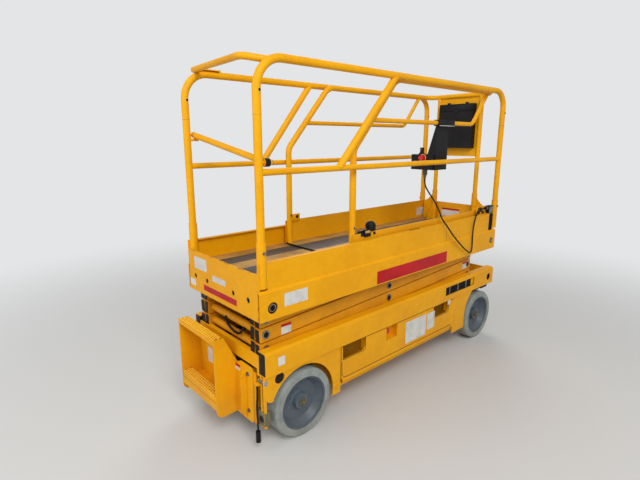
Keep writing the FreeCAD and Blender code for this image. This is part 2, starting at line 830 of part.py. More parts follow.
def rim(x, side):
    """A dished wheel disc with a raised hub and a blind bore for the axle."""
    bore, edge, width = axle_radius + run_gap, rim_radius, tyre_width
    bore_end = axle_cover - 5
    outer = [(edge, 6), (edge - 10, 6), (edge - 13, 16), (edge - 40, 54), (62, 58), (50, 52),
             (46, 26), (22, 24), (18, 16), (0, 16)]
    inner = [(0, bore_end), (bore, bore_end), (bore, 112), (58, 112), (60, 70),
             (edge - 38, 66), (edge - 12, 40), (edge - 12, width - 6), (edge, width - 6)]
    return turned(outer + inner, x, side)


def knuckle(side):
    """A leg inside the wheel under a top plate with the kingpin and steering arm."""
    x, y = front_wheel_x, side * wheel_mid_y
    leg_y = wheel_inner_y - knuckle_leg_gap
    low = knuckle_top - knuckle_plate
    tie_x = x - steer_arm_length
    pieces = [box(x - knuckle_half_length, side * (leg_y - knuckle_leg), knuckle_bottom,
                  x + knuckle_half_length, side * leg_y, knuckle_top)]
    pieces.append(box(x - knuckle_half_length, side * leg_y, low,
                      x + knuckle_half_length, y + side * thrust_radius, knuckle_top))
    pieces.append(round_z(thrust_radius, x, y, knuckle_top, beam_bottom - touch_gap))
    pieces.append(round_z(kingpin_radius, x, y, knuckle_top, beam_bottom + carrier_thickness))
    pieces.append(round_y(hub_boss_radius, x, side * leg_y, side * (wheel_inner_y - hub_gap),
                          tyre_radius))
    pieces.append(round_y(axle_radius, x, side * leg_y, side * (wheel_outer_y - axle_cover),
                          tyre_radius))
    pieces.append(box(tie_x, y - steer_arm_half_width, low, x, y + steer_arm_half_width,
                      knuckle_top))
    pieces.append(round_z(steer_arm_half_width, tie_x, y, low, knuckle_top))
    pieces.append(round_z(tie_pin_radius, tie_x, y, low, knuckle_top + tie_eye_height + 3))
    return fuse(pieces)


def tie_rod():
    """The rod between both steering arms, with a flat eye at each end."""
    x = front_wheel_x - steer_arm_length
    low, high = knuckle_top + touch_gap, knuckle_top + tie_eye_height
    end = wheel_mid_y - tie_pin_radius - 5
    pieces = [round_y(tie_rod_radius, x, -end, end, (low + high) / 2)]
    pieces += [round_z(tie_eye_radius, x, side * wheel_mid_y, low, high) for _, side in SIDES]
    rod = fuse(pieces)
    for _, side in SIDES:
        rod = rod.cut(round_z(tie_pin_radius + run_gap, x, side * wheel_mid_y, low - 1, high + 1))
    return rod


# Scissor stack

def pin_z(level):
    """Height of the end pins between two stages, folded."""
    return base_pivot_z + level * stage_rise


def arm(low_pin, high_pin, y0, y1, round_low):
    """A bar between two end pins, square past its pins or round at its low one."""
    half, over = arm_depth / 2, half_arm + arm_overhang
    low_end = -half_arm if round_low else -over
    low_corner = 0 if round_low else arm_corner
    body = plate_xz([(low_end, -half, low_corner), (over, -half, arm_corner),
                     (over, half, arm_corner), (low_end, half, low_corner)], y0, y1)
    if round_low:
        body = body.fuse(round_y(half, -half_arm, y0, y1, 0))
    run, rise = high_pin[0] - low_pin[0], high_pin[1] - low_pin[1]
    body.rotate(Vector(0, 0, 0), Vector(0, 1, 0), -math.degrees(math.atan2(rise, run)))
    body.translate(Vector((low_pin[0] + high_pin[0]) / 2, 0, (low_pin[1] + high_pin[1]) / 2))
    return body.removeSplitter().Solids[0]


def outer_arms(stage):
    """The outer pair of one stage, from the rear pins up to the front pins."""
    low, high = (pivot_x, pin_z(stage - 1)), (slider_x, pin_z(stage))
    bores = [low, ((pivot_x + slider_x) / 2, pin_z(stage - 0.5))]
    if stage < stages:
        bores.append(high)
    pair = []
    for _, side in SIDES:
        y0, y1 = side * outer_arm_y, side * arm_outer_y
        piece = arm(low, high, y0, y1, stage == 1)
        for x, z in bores:
            piece = piece.cut(round_y(shaft_radius + run_gap, x, y0 - side, y1 + side, z))
        if stage == stages:
            end = side * roller_outer_y
            piece = fuse([piece, round_y(shaft_radius, slider_x, y0, end, high[1]),
                          round_y(upper_roller_radius, slider_x, side * roller_inner_y, end,
                                  high[1])])
        pair.append(piece.Solids[0])
    return Part.Compound(pair)


def along_inner_arm(stage, along, below=0):
    """(x, z) on an inner arm, measured from its centre pin towards its high rear end."""
    c, s = math.cos(fold_angle), math.sin(fold_angle)
    return ((pivot_x + slider_x) / 2 - along * c - below * s,
            pin_z(stage - 0.5) + along * s - below * c)


def inner_arms(stage):
    """The inner pair of one stage with its shafts, from the front pins up to the rear pins."""
    low, high = (slider_x, pin_z(stage - 1)), (pivot_x, pin_z(stage))
    mid_x, mid_z = along_inner_arm(stage, 0)
    pieces = []
    for _, side in SIDES:
        y0 = side * inner_arm_y
        pieces.append(arm(low, high, y0, side * (inner_arm_y + arm_thickness), stage == 1))
        pieces.append(round_y(shaft_radius, mid_x, y0, side * arm_outer_y, mid_z))
        if stage == 1:
            end = side * roller_outer_y
            pieces.append(round_y(shaft_radius, slider_x, y0, end, low[1]))
            pieces.append(round_y(lower_roller_radius, slider_x, side * roller_inner_y, end,
                                  low[1]))
    if stage > 1:
        pieces.append(round_y(shaft_radius, slider_x, -arm_outer_y, arm_outer_y, low[1]))
        x, z = along_inner_arm(stage, half_arm - cross_tube_in)
        pieces.append(round_y(cross_tube_radius, x, -inner_arm_y, inner_arm_y, z))
    x, z = along_inner_arm(stage, cross_tube_in - half_arm)
    pieces.append(round_y(cross_tube_radius, x, -inner_arm_y, inner_arm_y, z))
    rear_end = arm_outer_y if stage < stages else beam_web_y + plate / 2
    pieces.append(round_y(shaft_radius, pivot_x, -rear_end, rear_end, high[1]))
    if stage == 1:
        pieces += lift_ear()
    return fuse(pieces)


def lift_ear():
    """The cross tube and the single ear that the lift rod's fork stands over."""
    tube_x, tube_z = along_inner_arm(1, head_tube_along)
    eye_x, eye_z = along_inner_arm(1, head_along, head_below)
    tube = round_y(head_tube_radius, tube_x, -inner_arm_y, inner_arm_y, tube_z)
    half = clevis_gap - clevis_side_gap
    link = box(0, -half, -ear_radius, math.hypot(eye_x - tube_x, eye_z - tube_z), half,
               ear_radius)
    slope = math.degrees(math.atan2(eye_z - tube_z, eye_x - tube_x))
    link.rotate(Vector(0, 0, 0), Vector(0, 1, 0), -slope)
    link.translate(Vector(tube_x, 0, tube_z))
    return [tube, link, round_y(ear_radius, eye_x, -half, half, eye_z),
            round_y(ear_radius, tube_x, -half, half, tube_z)]


# Lift cylinder

def lift_axis():
    """Length and tilt of the line from the foot pin to the rod's eye, folded."""
    eye_x, eye_z = along_inner_arm(1, head_along, head_below)
    run, rise = eye_x - foot_pin_x, eye_z - foot_pin_z
    return math.hypot(run, rise), math.degrees(math.atan2(rise, run))


def on_lift_axis(shape):
    """Moves a piece built along +X from the origin onto the cylinder's axis."""
    _, tilt = lift_axis()
    shape.rotate(Vector(0, 0, 0), Vector(0, 1, 0), -tilt)
    shape.translate(Vector(foot_pin_x, 0, foot_pin_z))
    return shape


def lift_barrel():
    """The barrel on its foot pin, open at the end where the rod comes out."""
    length, _ = lift_axis()
    end = length - barrel_end_gap
    half = eye_half_width
    body = fuse([round_y(foot_eye_radius, 0, -half, half, 0),
                 box(0, -half, -half, 2 * half, half, half),
                 round_x(barrel_radius, barrel_radius, end, 0, 0),
                 round_x(barrel_radius + barrel_collar, end - barrel_collar_length, end, 0, 0)])
    body = body.cut(round_y(foot_pin_radius + run_gap, 0, -half - 1, half + 1, 0))
    body = body.cut(round_x(rod_radius + run_gap, end - rod_bury - 20, end + 1, 0, 0))
    return on_lift_axis(body)


def lift_rod():
    """The rod with a fork that stands over the ear of the lowest inner arms."""
    length, _ = lift_axis()
    start = length - barrel_end_gap - rod_bury
    fork_start = length - clevis_slot - rod_radius * 0.75
    half, high = clevis_gap + clevis_plate, clevis_half_height
    fork = fuse([round_x(rod_radius, start, fork_start + 4, 0, 0),
                 box(fork_start, -half, -high, length, half, high),
                 round_y(high, length, -half, half, 0)])
    fork = fork.cut(box(length - clevis_slot, -clevis_gap, -high - 1, length + high + 1,
                        clevis_gap, high + 1))
    heads = [round_y(clevis_head_radius, length, side * half, side * (half + clevis_head), 0)
             for _, side in SIDES]
    return on_lift_axis(fuse([fork] + heads))


# Main deck

def roller_channel(side):
    """The channel of one upper roller, hung from the deck plate."""
    low = top_pivot_z - upper_roller_radius - touch_gap
    high = top_pivot_z + upper_roller_radius + swing_gap
    inner, web = side * (roller_inner_y - swing_gap), side * (beam_web_y - 1)
    back = web - side * plate
    x0, x1 = raised_x - channel_end_gap, slider_x + channel_end_gap
    pieces = [box(x0, inner, low - plate, x1, web, low),
              box(x0, inner, high, x1, web, high + plate),
              box(x0, back, low - plate, x1, web, high + plate)]
    for x in (x0, (x0 + x1 - hanger_length) / 2, x1 - hanger_length):
        pieces.append(box(x, inner, high, x + hanger_length, side * (deck_edge_y - 10),
                          deck_plate_bottom))
    return pieces


def main_deck():
    """Deck plate on ribs, the channels for the top rollers and the rear pivot ears."""
    pieces = [box(deck_rear_x + plate, -deck_edge_y, deck_plate_bottom, deck_front_x,
                  deck_edge_y, deck_top)]
    spacing = (deck_length - 2 * rib_width) / rib_count
    for i in range(1, rib_count + 1):
        x = deck_rear_x + i * spacing
        pieces.append(box(x, -deck_edge_y, deck_plate_bottom - rib_height, x + rib_width,
                          deck_edge_y, deck_plate_bottom))
    for _, side in SIDES:
        pieces += roller_channel(side)
        y0, y1 = side * outer_arm_y, side * arm_outer_y
        ear = fuse([box(pivot_x - ear_half_length, y0, top_pivot_z, pivot_x + ear_half_length,
                        y1, deck_plate_bottom),
                    round_y(arm_depth / 2, pivot_x, y0, y1, top_pivot_z)])
        pieces.append(ear.cut(round_y(shaft_radius + run_gap, pivot_x, y0 - side, y1 + side,
                                      top_pivot_z)))
    return fuse(pieces)


def side_skirt(side):
    """One side of the deck: an upper panel with a lip, a ridge and an apron."""
    o, u, t = half_width, skirt_upper_y, plate
    bend = deck_ridge + skirt_step
    points = [(u, skirt_top), (u, bend), (o, deck_ridge), (o, deck_bottom),
              (o - t, deck_bottom), (o - t, deck_ridge - t / 2), (u - t, bend - t / 2),
              (u - t, skirt_top - t), (u - skirt_lip, skirt_top - t), (u - skirt_lip, skirt_top)]
    skin = plate_yz([(side * y, z) for y, z in points], deck_rear_x, deck_front_x)
    for x in (rear_post_x, front_post_x):
        reach = socket_radius + touch_gap
        skin = skin.cut(round_z(reach, x, side * rail_y, deck_top - 12, skirt_top + 1))
        outer_x = deck_rear_x - 1 if x < deck_mid_x else deck_front_x + 1
        skin = skin.cut(box(outer_x, side * (u - skirt_lip - 1), skirt_top - t - 1,
                            x + math.copysign(reach, deck_mid_x - x), side * (u - t),
                            skirt_top + 1))
    skin = skin.cut(round_y(tube_hole_radius, pivot_x, side * (o - t - 1), side * (o + 1),
                            top_pivot_z))
    if side < 0:
        low = bend + 5
        skin = skin.cut(box(guide_slot_x, side * (u - t - 1), low,
                            guide_slot_x + guide_slot_length, side * (u + 1),
                            low + guide_slot_height))
    return largest(skin)


def rear_panel():
    """The end panel below the entry, with four round holes."""
    panel = fuse([box(deck_rear_x, -deck_edge_y, deck_bottom, deck_rear_x + plate, deck_edge_y,
                      rear_panel_top),
                  box(deck_rear_x, -deck_edge_y, rear_panel_top - rear_panel_lip_height,
                      deck_rear_x + rear_panel_lip, deck_edge_y, rear_panel_top)])
    for y in rear_hole_ys:
        panel = panel.cut(round_x(rear_hole_radius, deck_rear_x - 1, deck_rear_x + plate + 1,
                                  y, rear_hole_z))
    return panel


# Guard rails

def drop_slope():
    """Rise of the drop bar over its run across the entry."""
    return (drop_far_z - drop_pivot_z) / (2 * rail_y)


def outer_hoop(name, side):
    """Both posts and the top rail of one side, with mid rail, brace and sockets."""
    y = side * rail_y
    foot = socket_top - post_overlap
    pieces = [bent_tube([(rear_post_x, y, foot), (rear_post_x, y, rail_top_z),
                         (front_post_x, y, rail_top_z), (front_post_x, y, foot)],
                        (rear_bend, front_bend), rail_radius)]
    for x in (rear_post_x, front_post_x):
        pieces.append(round_z(socket_radius, x, y, deck_top, socket_top))
    pieces.append(round_x(mid_rail_radius, rear_post_x, front_post_x, y, mid_rail_z))
    pieces.append(bar(brace_radius, (brace_foot_x[name], y, mid_rail_z),
                      (brace_head_x[name], y, rail_top_z)))
    eye_x = rear_post_x + drop_offset
    if side < 0:
        end = eye_x + drop_eye_width / 2 + touch_gap
        pieces.append(round_x(drop_pin_radius, rear_post_x, end + 5, y, drop_pivot_z))
        pieces.append(round_x(drop_pin_head, end, end + 12, y, drop_pivot_z))
    else:
        tilt = math.atan(drop_slope())
        drop = (drop_radius + drop_rest_radius + touch_gap) / math.cos(tilt)
        rest_z = drop_far_z - drop_rest_in * drop_slope() - drop
        pieces.append(round_x(drop_rest_radius, rear_post_x, eye_x + drop_radius + 4,
                              y - drop_rest_in, rest_z))
    return fuse(pieces)


def entry_bow(hoops):
    """The bowed bar across the top of the entry, seated on the bends of both hoops."""
    near_x = rear_post_x + rear_bend * 0.6
    near_z = rail_top_z - rear_bend * 0.1
    far_x = rear_post_x + rear_bend / 2
    tube = bent_tube([(near_x, -rail_y, near_z),
                      (rear_post_x - bow_out, -rail_y + bow_inset, bow_z - bow_fall),
                      (far_x, rail_y + bow_radius, bow_z + bow_fall)], (bow_bend,), bow_radius)
    crown = rail_top_z + rail_radius
    tab = box(far_x, rail_y - bow_tab_half_width, crown, rear_post_x + rear_bend + bow_tab,
              rail_y + bow_tab_half_width, crown + plate)
    whole = fuse([tube, tab])
    for hoop in hoops:
        whole = whole.cut(hoop)
    return largest(whole)


def drop_bar():
    """The entry bar that swings up about a pin on the near rear post."""
    x, half, slope = rear_post_x + drop_offset, drop_eye_width / 2, drop_slope()
    eye = round_x(drop_eye_radius, x - half, x + half, -rail_y, drop_pivot_z)
    tube = bar(drop_radius, (x, -rail_y + drop_end, drop_pivot_z + drop_end * slope),
               (x, rail_y + drop_end, drop_far_z + drop_end * slope))
    bore = round_x(drop_pin_radius + run_gap, x - half - 1, x + half + 1, -rail_y, drop_pivot_z)
    return fuse([eye, tube]).cut(bore)


# Slide-out deck

def slide_deck():
    """Floor, side boards and front board of the slide-out deck, on four runners."""
    w, b = slide_half_width, slide_board
    pieces = [box(slide_rear_x, -w, slide_floor_bottom, slide_front_x, w, slide_floor_top),
              box(slide_front_x - b, -w, slide_floor_bottom, slide_front_x, w,
                  slide_board_top)]
    for _, side in SIDES:
        pieces.append(box(slide_rear_x, side * (w - b), slide_floor_bottom, slide_front_x,
                          side * w, slide_board_top))
        for x in (slide_rear_x + runner_in, deck_mid_x):
            pieces.append(box(x, side * (w - runner_in), deck_top + touch_gap,
                              x + runner_length, side * (w - runner_in + runner_width),
                              slide_floor_bottom))
    return fuse(pieces)


def slide_rails():
    """Rails of the slide-out deck with the front panel between two posts."""
    slope = (inner_top_z - inner_knee_z) / (inner_head_x - inner_post_x)
    mid_start_x = inner_post_x + (inner_mid_z - inner_knee_z) / slope
    turn_x = inner_front_x - inner_bend
    pieces = []
    for name, side in SIDES:
        y, rise_x = side * inner_rail_y, inner_rise_x[name]
        pieces.append(bent_tube([(inner_post_x, y, slide_floor_top), (inner_post_x, y, inner_knee_z),
                                 (inner_head_x, y, inner_top_z), (turn_x, y, inner_top_z)],
                                (knee_bend, head_bend), inner_rail_radius))
        pieces.append(bent_tube([(mid_start_x, y, inner_mid_z), (rise_x, y, inner_mid_z),
                                 (rise_x + inner_rise_run, y, inner_top_z)], (rise_bend,),
                                inner_mid_radius))
        pieces.append(round_z(front_post_radius, inner_front_x, side * front_post_y,
                              slide_floor_top, inner_top_z))
        foot_x = inner_front_x - front_post_radius
        pieces.append(plate_xz([(inner_front_x, slide_floor_top),
                                (foot_x - gusset_length, slide_floor_top),
                                (foot_x, slide_floor_top + gusset_height),
                                (inner_front_x, slide_floor_top + gusset_height)],
                               side * (front_post_y - plate / 2), side * (front_post_y + plate / 2)))
    pieces.append(bent_tube([(turn_x - 1, -inner_rail_y, inner_top_z),
                             (inner_front_x, -inner_rail_y, inner_top_z),
                             (inner_front_x, inner_rail_y, inner_top_z),
                             (turn_x - 1, inner_rail_y, inner_top_z)],
                            (inner_bend, inner_bend), inner_rail_radius))
    pieces.append(box(inner_front_x - panel_plate / 2, -front_post_y, panel_bottom,
                      inner_front_x + panel_plate / 2, front_post_y, inner_top_z))
    return fuse(pieces)


def deck_lock():
    """The lock on the near board of the slide-out deck, with its knob above the board."""
    y = -slide_half_width + slide_board
    top = slide_board_top + lock_above
    mount = box(lock_x - lock_half_length, y, top - lock_height, lock_x + lock_half_length,
                y + lock_plate, top)
    knob_x = lock_x + lock_knob_in
    seat = box(knob_x - lock_seat_half_length, y - slide_board, slide_board_top,
               knob_x + lock_seat_half_length, y + lock_plate, top)
    knob = Part.makeSphere(lock_knob_radius, Vector(knob_x, y, top + lock_knob_rise))
    return fuse([mount, seat, knob])


def document_box():
    """The box for papers on the front panel, with two knobs on its lid."""
    face = inner_front_x - panel_plate / 2
    middle = face - book_depth / 2
    pieces = [box(face - book_depth, -book_half_width, book_bottom, face, book_half_width,
                  book_top)]
    for _, side in SIDES:
        pieces.append(round_z(book_knob_radius, middle, side * book_knob_y, book_top,
                              book_top + book_knob_height))
    return fuse(pieces)


def control_stand(rails):
    """The hook over the near inner mid rail, the leaning panel and the box below it."""
    y = -inner_rail_y
    reach = inner_mid_radius + hook_plate
    wall, end = -box_wall_y, -box_end_y
    box_top = box_bottom + box_height
    hook = box(hook_rear_x, y - reach, inner_mid_z - reach, hook_rear_x + hook_length, wall,
               inner_mid_z + reach)
    stand_x = hook_rear_x + (hook_length - stand_width) / 2
    back = box(stand_x, wall - stand_plate, box_bottom, stand_x + stand_width, wall,
               inner_mid_z - reach + 5)
    body = box(box_rear_x, wall, box_bottom, box_rear_x + box_length, end, box_top)
    wedge = plate_yz([(wall, box_top), (wall + stand_lean, box_top),
                      (wall, inner_mid_z - reach)], stand_x, stand_x + stand_width)
    return largest(fuse([hook, back, body, wedge]).cut(rails))


def stop_button():
    """The stop button on the control box's rear face."""
    x, z = box_rear_x, box_bottom + box_height * 0.78
    return fuse([round_x(stop_plate_radius, x - 6, x, stop_y, z),
                 round_x(stop_stem_radius, x - stop_height + 12, x, stop_y, z),
                 round_x(stop_radius, x - stop_height, x - stop_height + 12, stop_y, z)])


def joystick():
    """The drive lever on the control box."""
    x, y, z = box_rear_x + stick_in_x, -box_end_y - stick_in, box_bottom + box_height
    return fuse([round_z(stick_boot_radius, x, y, z, z + 8),
                 round_z(stick_radius, x, y, z, z + stick_height - 30),
                 round_z(stick_grip_radius, x, y, z + stick_height - 34, z + stick_height)])


def cable_plug():
    """The plug under the control box."""
    y = -box_end_y - plug_inset
    split = box_bottom - plug_length * 0.7
    return fuse([round_z(plug_radius, control_x, y, split, box_bottom),
                 round_z(plug_radius * 0.65, control_x, y, box_bottom - plug_length, split)])


def cable_socket():
    """The socket block on the near skirt's lip by the front post."""
    y = -skirt_upper_y
    return fuse([box(outlet_x, y, skirt_top, outlet_x + outlet_length, y + skirt_lip + 4,
                     skirt_top + outlet_height),
                 round_x(gland_radius, outlet_x - gland_length, outlet_x, -gland_y, gland_z)])


# Cords, as corner points: the control cable from its plug to the socket's gland,
# and the charging lead that hangs from the near rear corner
cable_radius = 5.5
cable_route = [
    (control_x, -box_end_y - plug_inset, box_bottom - plug_length),
    (control_x, -box_end_y - plug_inset, 1362),
    (494, -214, 1305),
    (497, -266, 1248),
    (473, -328, 1186),
    (434, -384, 1124),
    (462, -421, 1066),
    (512, -426, 1012),
    (575, -425, 962),
    (640, -424, 915),
    (705, -422, 869),
    (768, -421, 833),
    (815, -418, 808),
    (857, -408, 832),
    (862, -404, 885),
    (859, -403, 945),
    (864, -402, 1003),
    (878, -401, 1060),
    (905, -399, 1112),
    (950, -392, 1145),
    (1000, -380, 1152),
    (outlet_x - gland_length - 56, -gland_y, gland_z),
    (outlet_x - gland_length, -gland_y, gland_z),
]
lead_route = [
    (lead_x, lead_y, lead_top),
    (lead_x, lead_y, 345),
    (lead_x - 4, lead_y + 3, 290),
    (lead_x - 3, lead_y + 6, 235),
    (lead_x, lead_y + 5, 180),
    (lead_x, lead_y + 5, lead_plug_top),
]


def lead_plug():
    """The plug at the lower end of the charging lead."""
    return round_z(lead_plug_radius, lead_x, lead_y + 5, lead_plug_bottom, lead_plug_top)


def build():
    """Every piece by its name."""
    nodes = {"chassis_frame": chassis_frame(), "rear_axle": rear_axle(),
             "entry_step": entry_step(), "tail_fittings": tail_fittings(),
             "tie_rod": tie_rod(), "lift_barrel": lift_barrel(), "lift_rod": lift_rod(),
             "main_deck": main_deck(), "rear_panel": rear_panel(), "drop_bar": drop_bar(),
             "slide_deck": slide_deck(), "slide_rails": slide_rails(),
             "deck_lock": deck_lock(), "document_box": document_box(),
             "stop_button": stop_button(), "ground_stop": ground_stop(),
             "joystick": joystick(), "cable_plug": cable_plug(),
             "cable_socket": cable_socket(),
             "control_cable": cord("control cable", cable_route, cable_radius),
             "charge_lead": cord("charging lead", lead_route, lead_radius),
             "charge_plug": lead_plug()}
    for name, side in SIDES:
        nodes["side_plates_" + name] = side_plates(side)
        nodes["tray_" + name] = tray(side)
        nodes["pothole_guard_" + name] = pothole_guard(side)
        nodes["side_skirt_" + name] = side_skirt(side)
        nodes["outer_rails_" + name] = outer_hoop(name, side)
        nodes["knuckle_" + name] = knuckle(side)
        for end, x in (("rear", rear_wheel_x), ("front", front_wheel_x)):
            nodes["tyre_" + end + "_" + name] = tyre(x, side)
            nodes["rim_" + end + "_" + name] = rim(x, side)
    nodes["entry_bow"] = entry_bow([nodes["outer_rails_near"], nodes["outer_rails_far"]])
    nodes["control_stand"] = control_stand(nodes["slide_rails"])
    load_rear_x = pan_rear_x + load_gap
    nodes["hydraulic_unit"] = tray_load(-1, load_rear_x, load_rear_x + unit_length, unit_top)
    nodes["battery_pack"] = tray_load(1, load_rear_x, pan_front_x - load_gap, battery_top)
    for stage in range(1, stages + 1):
        nodes["outer_arms_%d" % stage] = outer_arms(stage)
        nodes["inner_arms_%d" % stage] = inner_arms(stage)
    return nodes


os.makedirs("parts", exist_ok=True)
for node, shape in build().items():
    shape.exportStep("parts/%s.step" % node)
    flaws = "" if shape.isValid() else "  invalid"
    print("%-22s solids %d  litres %.2f%s" % (node, len(shape.Solids), shape.Volume / 1e6, flaws))
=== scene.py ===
import json
import logging
import math
from dataclasses import dataclass, field
from enum import Enum
from typing import Callable, Iterable, NamedTuple, Optional, Sequence

import bmesh
import bpy
from mathutils import Matrix, Vector


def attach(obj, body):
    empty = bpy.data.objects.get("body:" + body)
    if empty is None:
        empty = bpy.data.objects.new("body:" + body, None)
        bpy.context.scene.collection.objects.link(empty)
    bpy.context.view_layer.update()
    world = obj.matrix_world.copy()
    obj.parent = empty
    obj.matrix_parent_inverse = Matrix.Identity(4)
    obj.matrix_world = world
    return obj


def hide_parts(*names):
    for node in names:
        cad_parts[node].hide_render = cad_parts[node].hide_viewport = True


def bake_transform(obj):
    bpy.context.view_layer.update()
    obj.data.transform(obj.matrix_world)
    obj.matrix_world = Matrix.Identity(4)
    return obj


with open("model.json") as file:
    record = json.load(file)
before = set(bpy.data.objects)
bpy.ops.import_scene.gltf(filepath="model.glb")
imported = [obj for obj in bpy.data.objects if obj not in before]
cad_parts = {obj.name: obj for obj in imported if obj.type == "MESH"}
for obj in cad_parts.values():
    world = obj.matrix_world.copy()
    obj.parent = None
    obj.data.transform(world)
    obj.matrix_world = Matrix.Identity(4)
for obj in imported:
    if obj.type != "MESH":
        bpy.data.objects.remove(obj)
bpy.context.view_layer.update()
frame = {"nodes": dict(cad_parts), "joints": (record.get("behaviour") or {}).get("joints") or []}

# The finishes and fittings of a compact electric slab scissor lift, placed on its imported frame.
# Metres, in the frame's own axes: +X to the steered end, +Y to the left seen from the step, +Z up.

logging.basicConfig(level=logging.INFO, format="%(message)s")
log = logging.getLogger("scissor_lift")

Point = Sequence[float]
Flat = tuple[float, float]
Colour = tuple[float, float, float]

TURNED_DEGREES = 30.0


def srgb(red: int, green: int, blue: int) -> Colour:
    """A screen colour as the linear values that shaders take."""
    def linear(value: float) -> float:
        """One channel, from 0 to 255, made linear."""
        share = value / 255
        return share / 12.92 if share <= 0.04045 else ((share + 0.055) / 1.055) ** 2.4
    return (linear(red), linear(green), linear(blue))


# Shared effects as shader node groups

class NodeTree:
    """A small helper that adds and links nodes in one tree."""

    def __init__(self, tree: bpy.types.NodeTree) -> None:
        """Keeps the tree that nodes go into."""
        self.tree = tree

    def add(self, kind: str, inputs: Optional[dict] = None, **settings: object) -> bpy.types.Node:
        """Adds a node.

        Args:
            kind: the node's type name.
            inputs: values or sockets for its inputs, by name or index.
            settings: attributes of the node.

        Returns:
            The new node.
        """
        node = self.tree.nodes.new(kind)
        for name, value in settings.items():
            setattr(node, name, value)
        for key, value in (inputs or {}).items():
            if isinstance(value, bpy.types.NodeSocket):
                self.tree.links.new(value, node.inputs[key])
            else:
                node.inputs[key].default_value = value
        return node

    def math(self, operation: str, first: object, second: object = 0.0,
             clamp: bool = False) -> bpy.types.NodeSocket:
        """One Math node's result."""
        node = self.add("ShaderNodeMath", {0: first, 1: second}, operation=operation)
        node.use_clamp = clamp
        return node.outputs[0]

    def ramp(self, value: object, low: float, high: float) -> bpy.types.NodeSocket:
        """A value mapped smoothly from low..high to 0..1."""
        node = self.add("ShaderNodeMapRange", {"Value": value, "From Min": low, "From Max": high},
                        interpolation_type="SMOOTHSTEP")
        return node.outputs["Result"]

    def mix(self, share: object, first: object, second: object) -> bpy.types.NodeSocket:
        """Two colours mixed by a share."""
        node = self.add("ShaderNodeMix", {0: share}, data_type="RGBA")
        for index, value in ((6, first), (7, second)):
            if isinstance(value, bpy.types.NodeSocket):
                self.tree.links.new(value, node.inputs[index])
            else:
                node.inputs[index].default_value = (*value, 1.0)
        return node.outputs[2]

    def noise(self, vector: object, scale: object, detail: float = 3.0) -> bpy.types.NodeSocket:
        """A noise pattern's value."""
        node = self.add("ShaderNodeTexNoise", {"Vector": vector, "Scale": scale, "Detail": detail})
        return node.outputs["Fac"]


def shader_group(name: str, inputs: dict[str, float], output: str,
                 build: Callable[[NodeTree, bpy.types.Node], bpy.types.NodeSocket]
                 ) -> bpy.types.NodeTree:
    """A shader group with float inputs and one float output.

    Args:
        name: the group's name.
        inputs: its inputs' names and default values.
        output: its output's name.
        build: makes the nodes and returns the socket that feeds the output.

    Returns:
        The group's tree.
    """
    tree = bpy.data.node_groups.new(name, "ShaderNodeTree")
    for key, value in inputs.items():
        socket = tree.interface.new_socket(key, in_out="INPUT", socket_type="NodeSocketFloat")
        socket.default_value = value
    tree.interface.new_socket(output, in_out="OUTPUT", socket_type="NodeSocketFloat")
    nodes = NodeTree(tree)
    entry = nodes.add("NodeGroupInput")
    result = build(nodes, entry)
    nodes.add("NodeGroupOutput", {output: result})
    return tree


def emptied_tree(owner: bpy.types.Material | bpy.types.World) -> NodeTree:
    """The cleared node tree of a material or a world."""
    owner.use_nodes = True
    owner.node_tree.nodes.clear()
    return NodeTree(owner.node_tree)


def place(nodes: NodeTree) -> bpy.types.NodeSocket:
    """The point being shaded, in the frame's metres."""
    return nodes.add("ShaderNodeTexCoord").outputs["Object"]


def build_edges(nodes: NodeTree, entry: bpy.types.Node) -> bpy.types.NodeSocket:
    """Edges worn through in patches: 1 where the paint has gone."""
    rounded = nodes.add("ShaderNodeBevel", {"Radius": entry.outputs["Width"]}, samples=4)
    flat = nodes.add("ShaderNodeNewGeometry").outputs["Normal"]
    same = nodes.add("ShaderNodeVectorMath", {0: rounded.outputs[0], 1: flat},
                     operation="DOT_PRODUCT").outputs["Value"]
    edge = nodes.ramp(nodes.math("SUBTRACT", 1.0, same), 0.03, 0.22)
    patches = nodes.noise(place(nodes), entry.outputs["Scale"], 4.0)
    worn = nodes.ramp(patches, 0.52, 0.60)
    return nodes.math("MULTIPLY", nodes.math("MULTIPLY", edge, worn), entry.outputs["Amount"],
                      clamp=True)


def build_dust(nodes: NodeTree, entry: bpy.types.Node) -> bpy.types.NodeSocket:
    """Dust that gathers towards the ground, in clouds."""
    where = place(nodes)
    height = nodes.add("ShaderNodeSeparateXYZ", {0: where}).outputs[2]
    low = nodes.add("ShaderNodeMapRange", {"Value": height, "From Min": entry.outputs["Top"],
                                           "From Max": 0.0}).outputs["Result"]
    clouds = nodes.ramp(nodes.noise(where, 6.0, 5.0), 0.35, 0.75)
    share = nodes.math("MULTIPLY", low, nodes.math("ADD", 0.35, clouds))
    return nodes.math("MULTIPLY", share, entry.outputs["Amount"], clamp=True)


def build_mottle(nodes: NodeTree, entry: bpy.types.Node) -> bpy.types.NodeSocket:
    """Slow unevenness of a finish, about 0 to 1."""
    where = place(nodes)
    broad = nodes.noise(where, entry.outputs["Scale"], 3.0)
    fine = nodes.noise(where, nodes.math("MULTIPLY", entry.outputs["Scale"], 9.0), 2.0)
    blend = nodes.math("ADD", nodes.math("MULTIPLY", broad, 0.7), nodes.math("MULTIPLY", fine, 0.3))
    return nodes.ramp(blend, 0.35, 0.65)


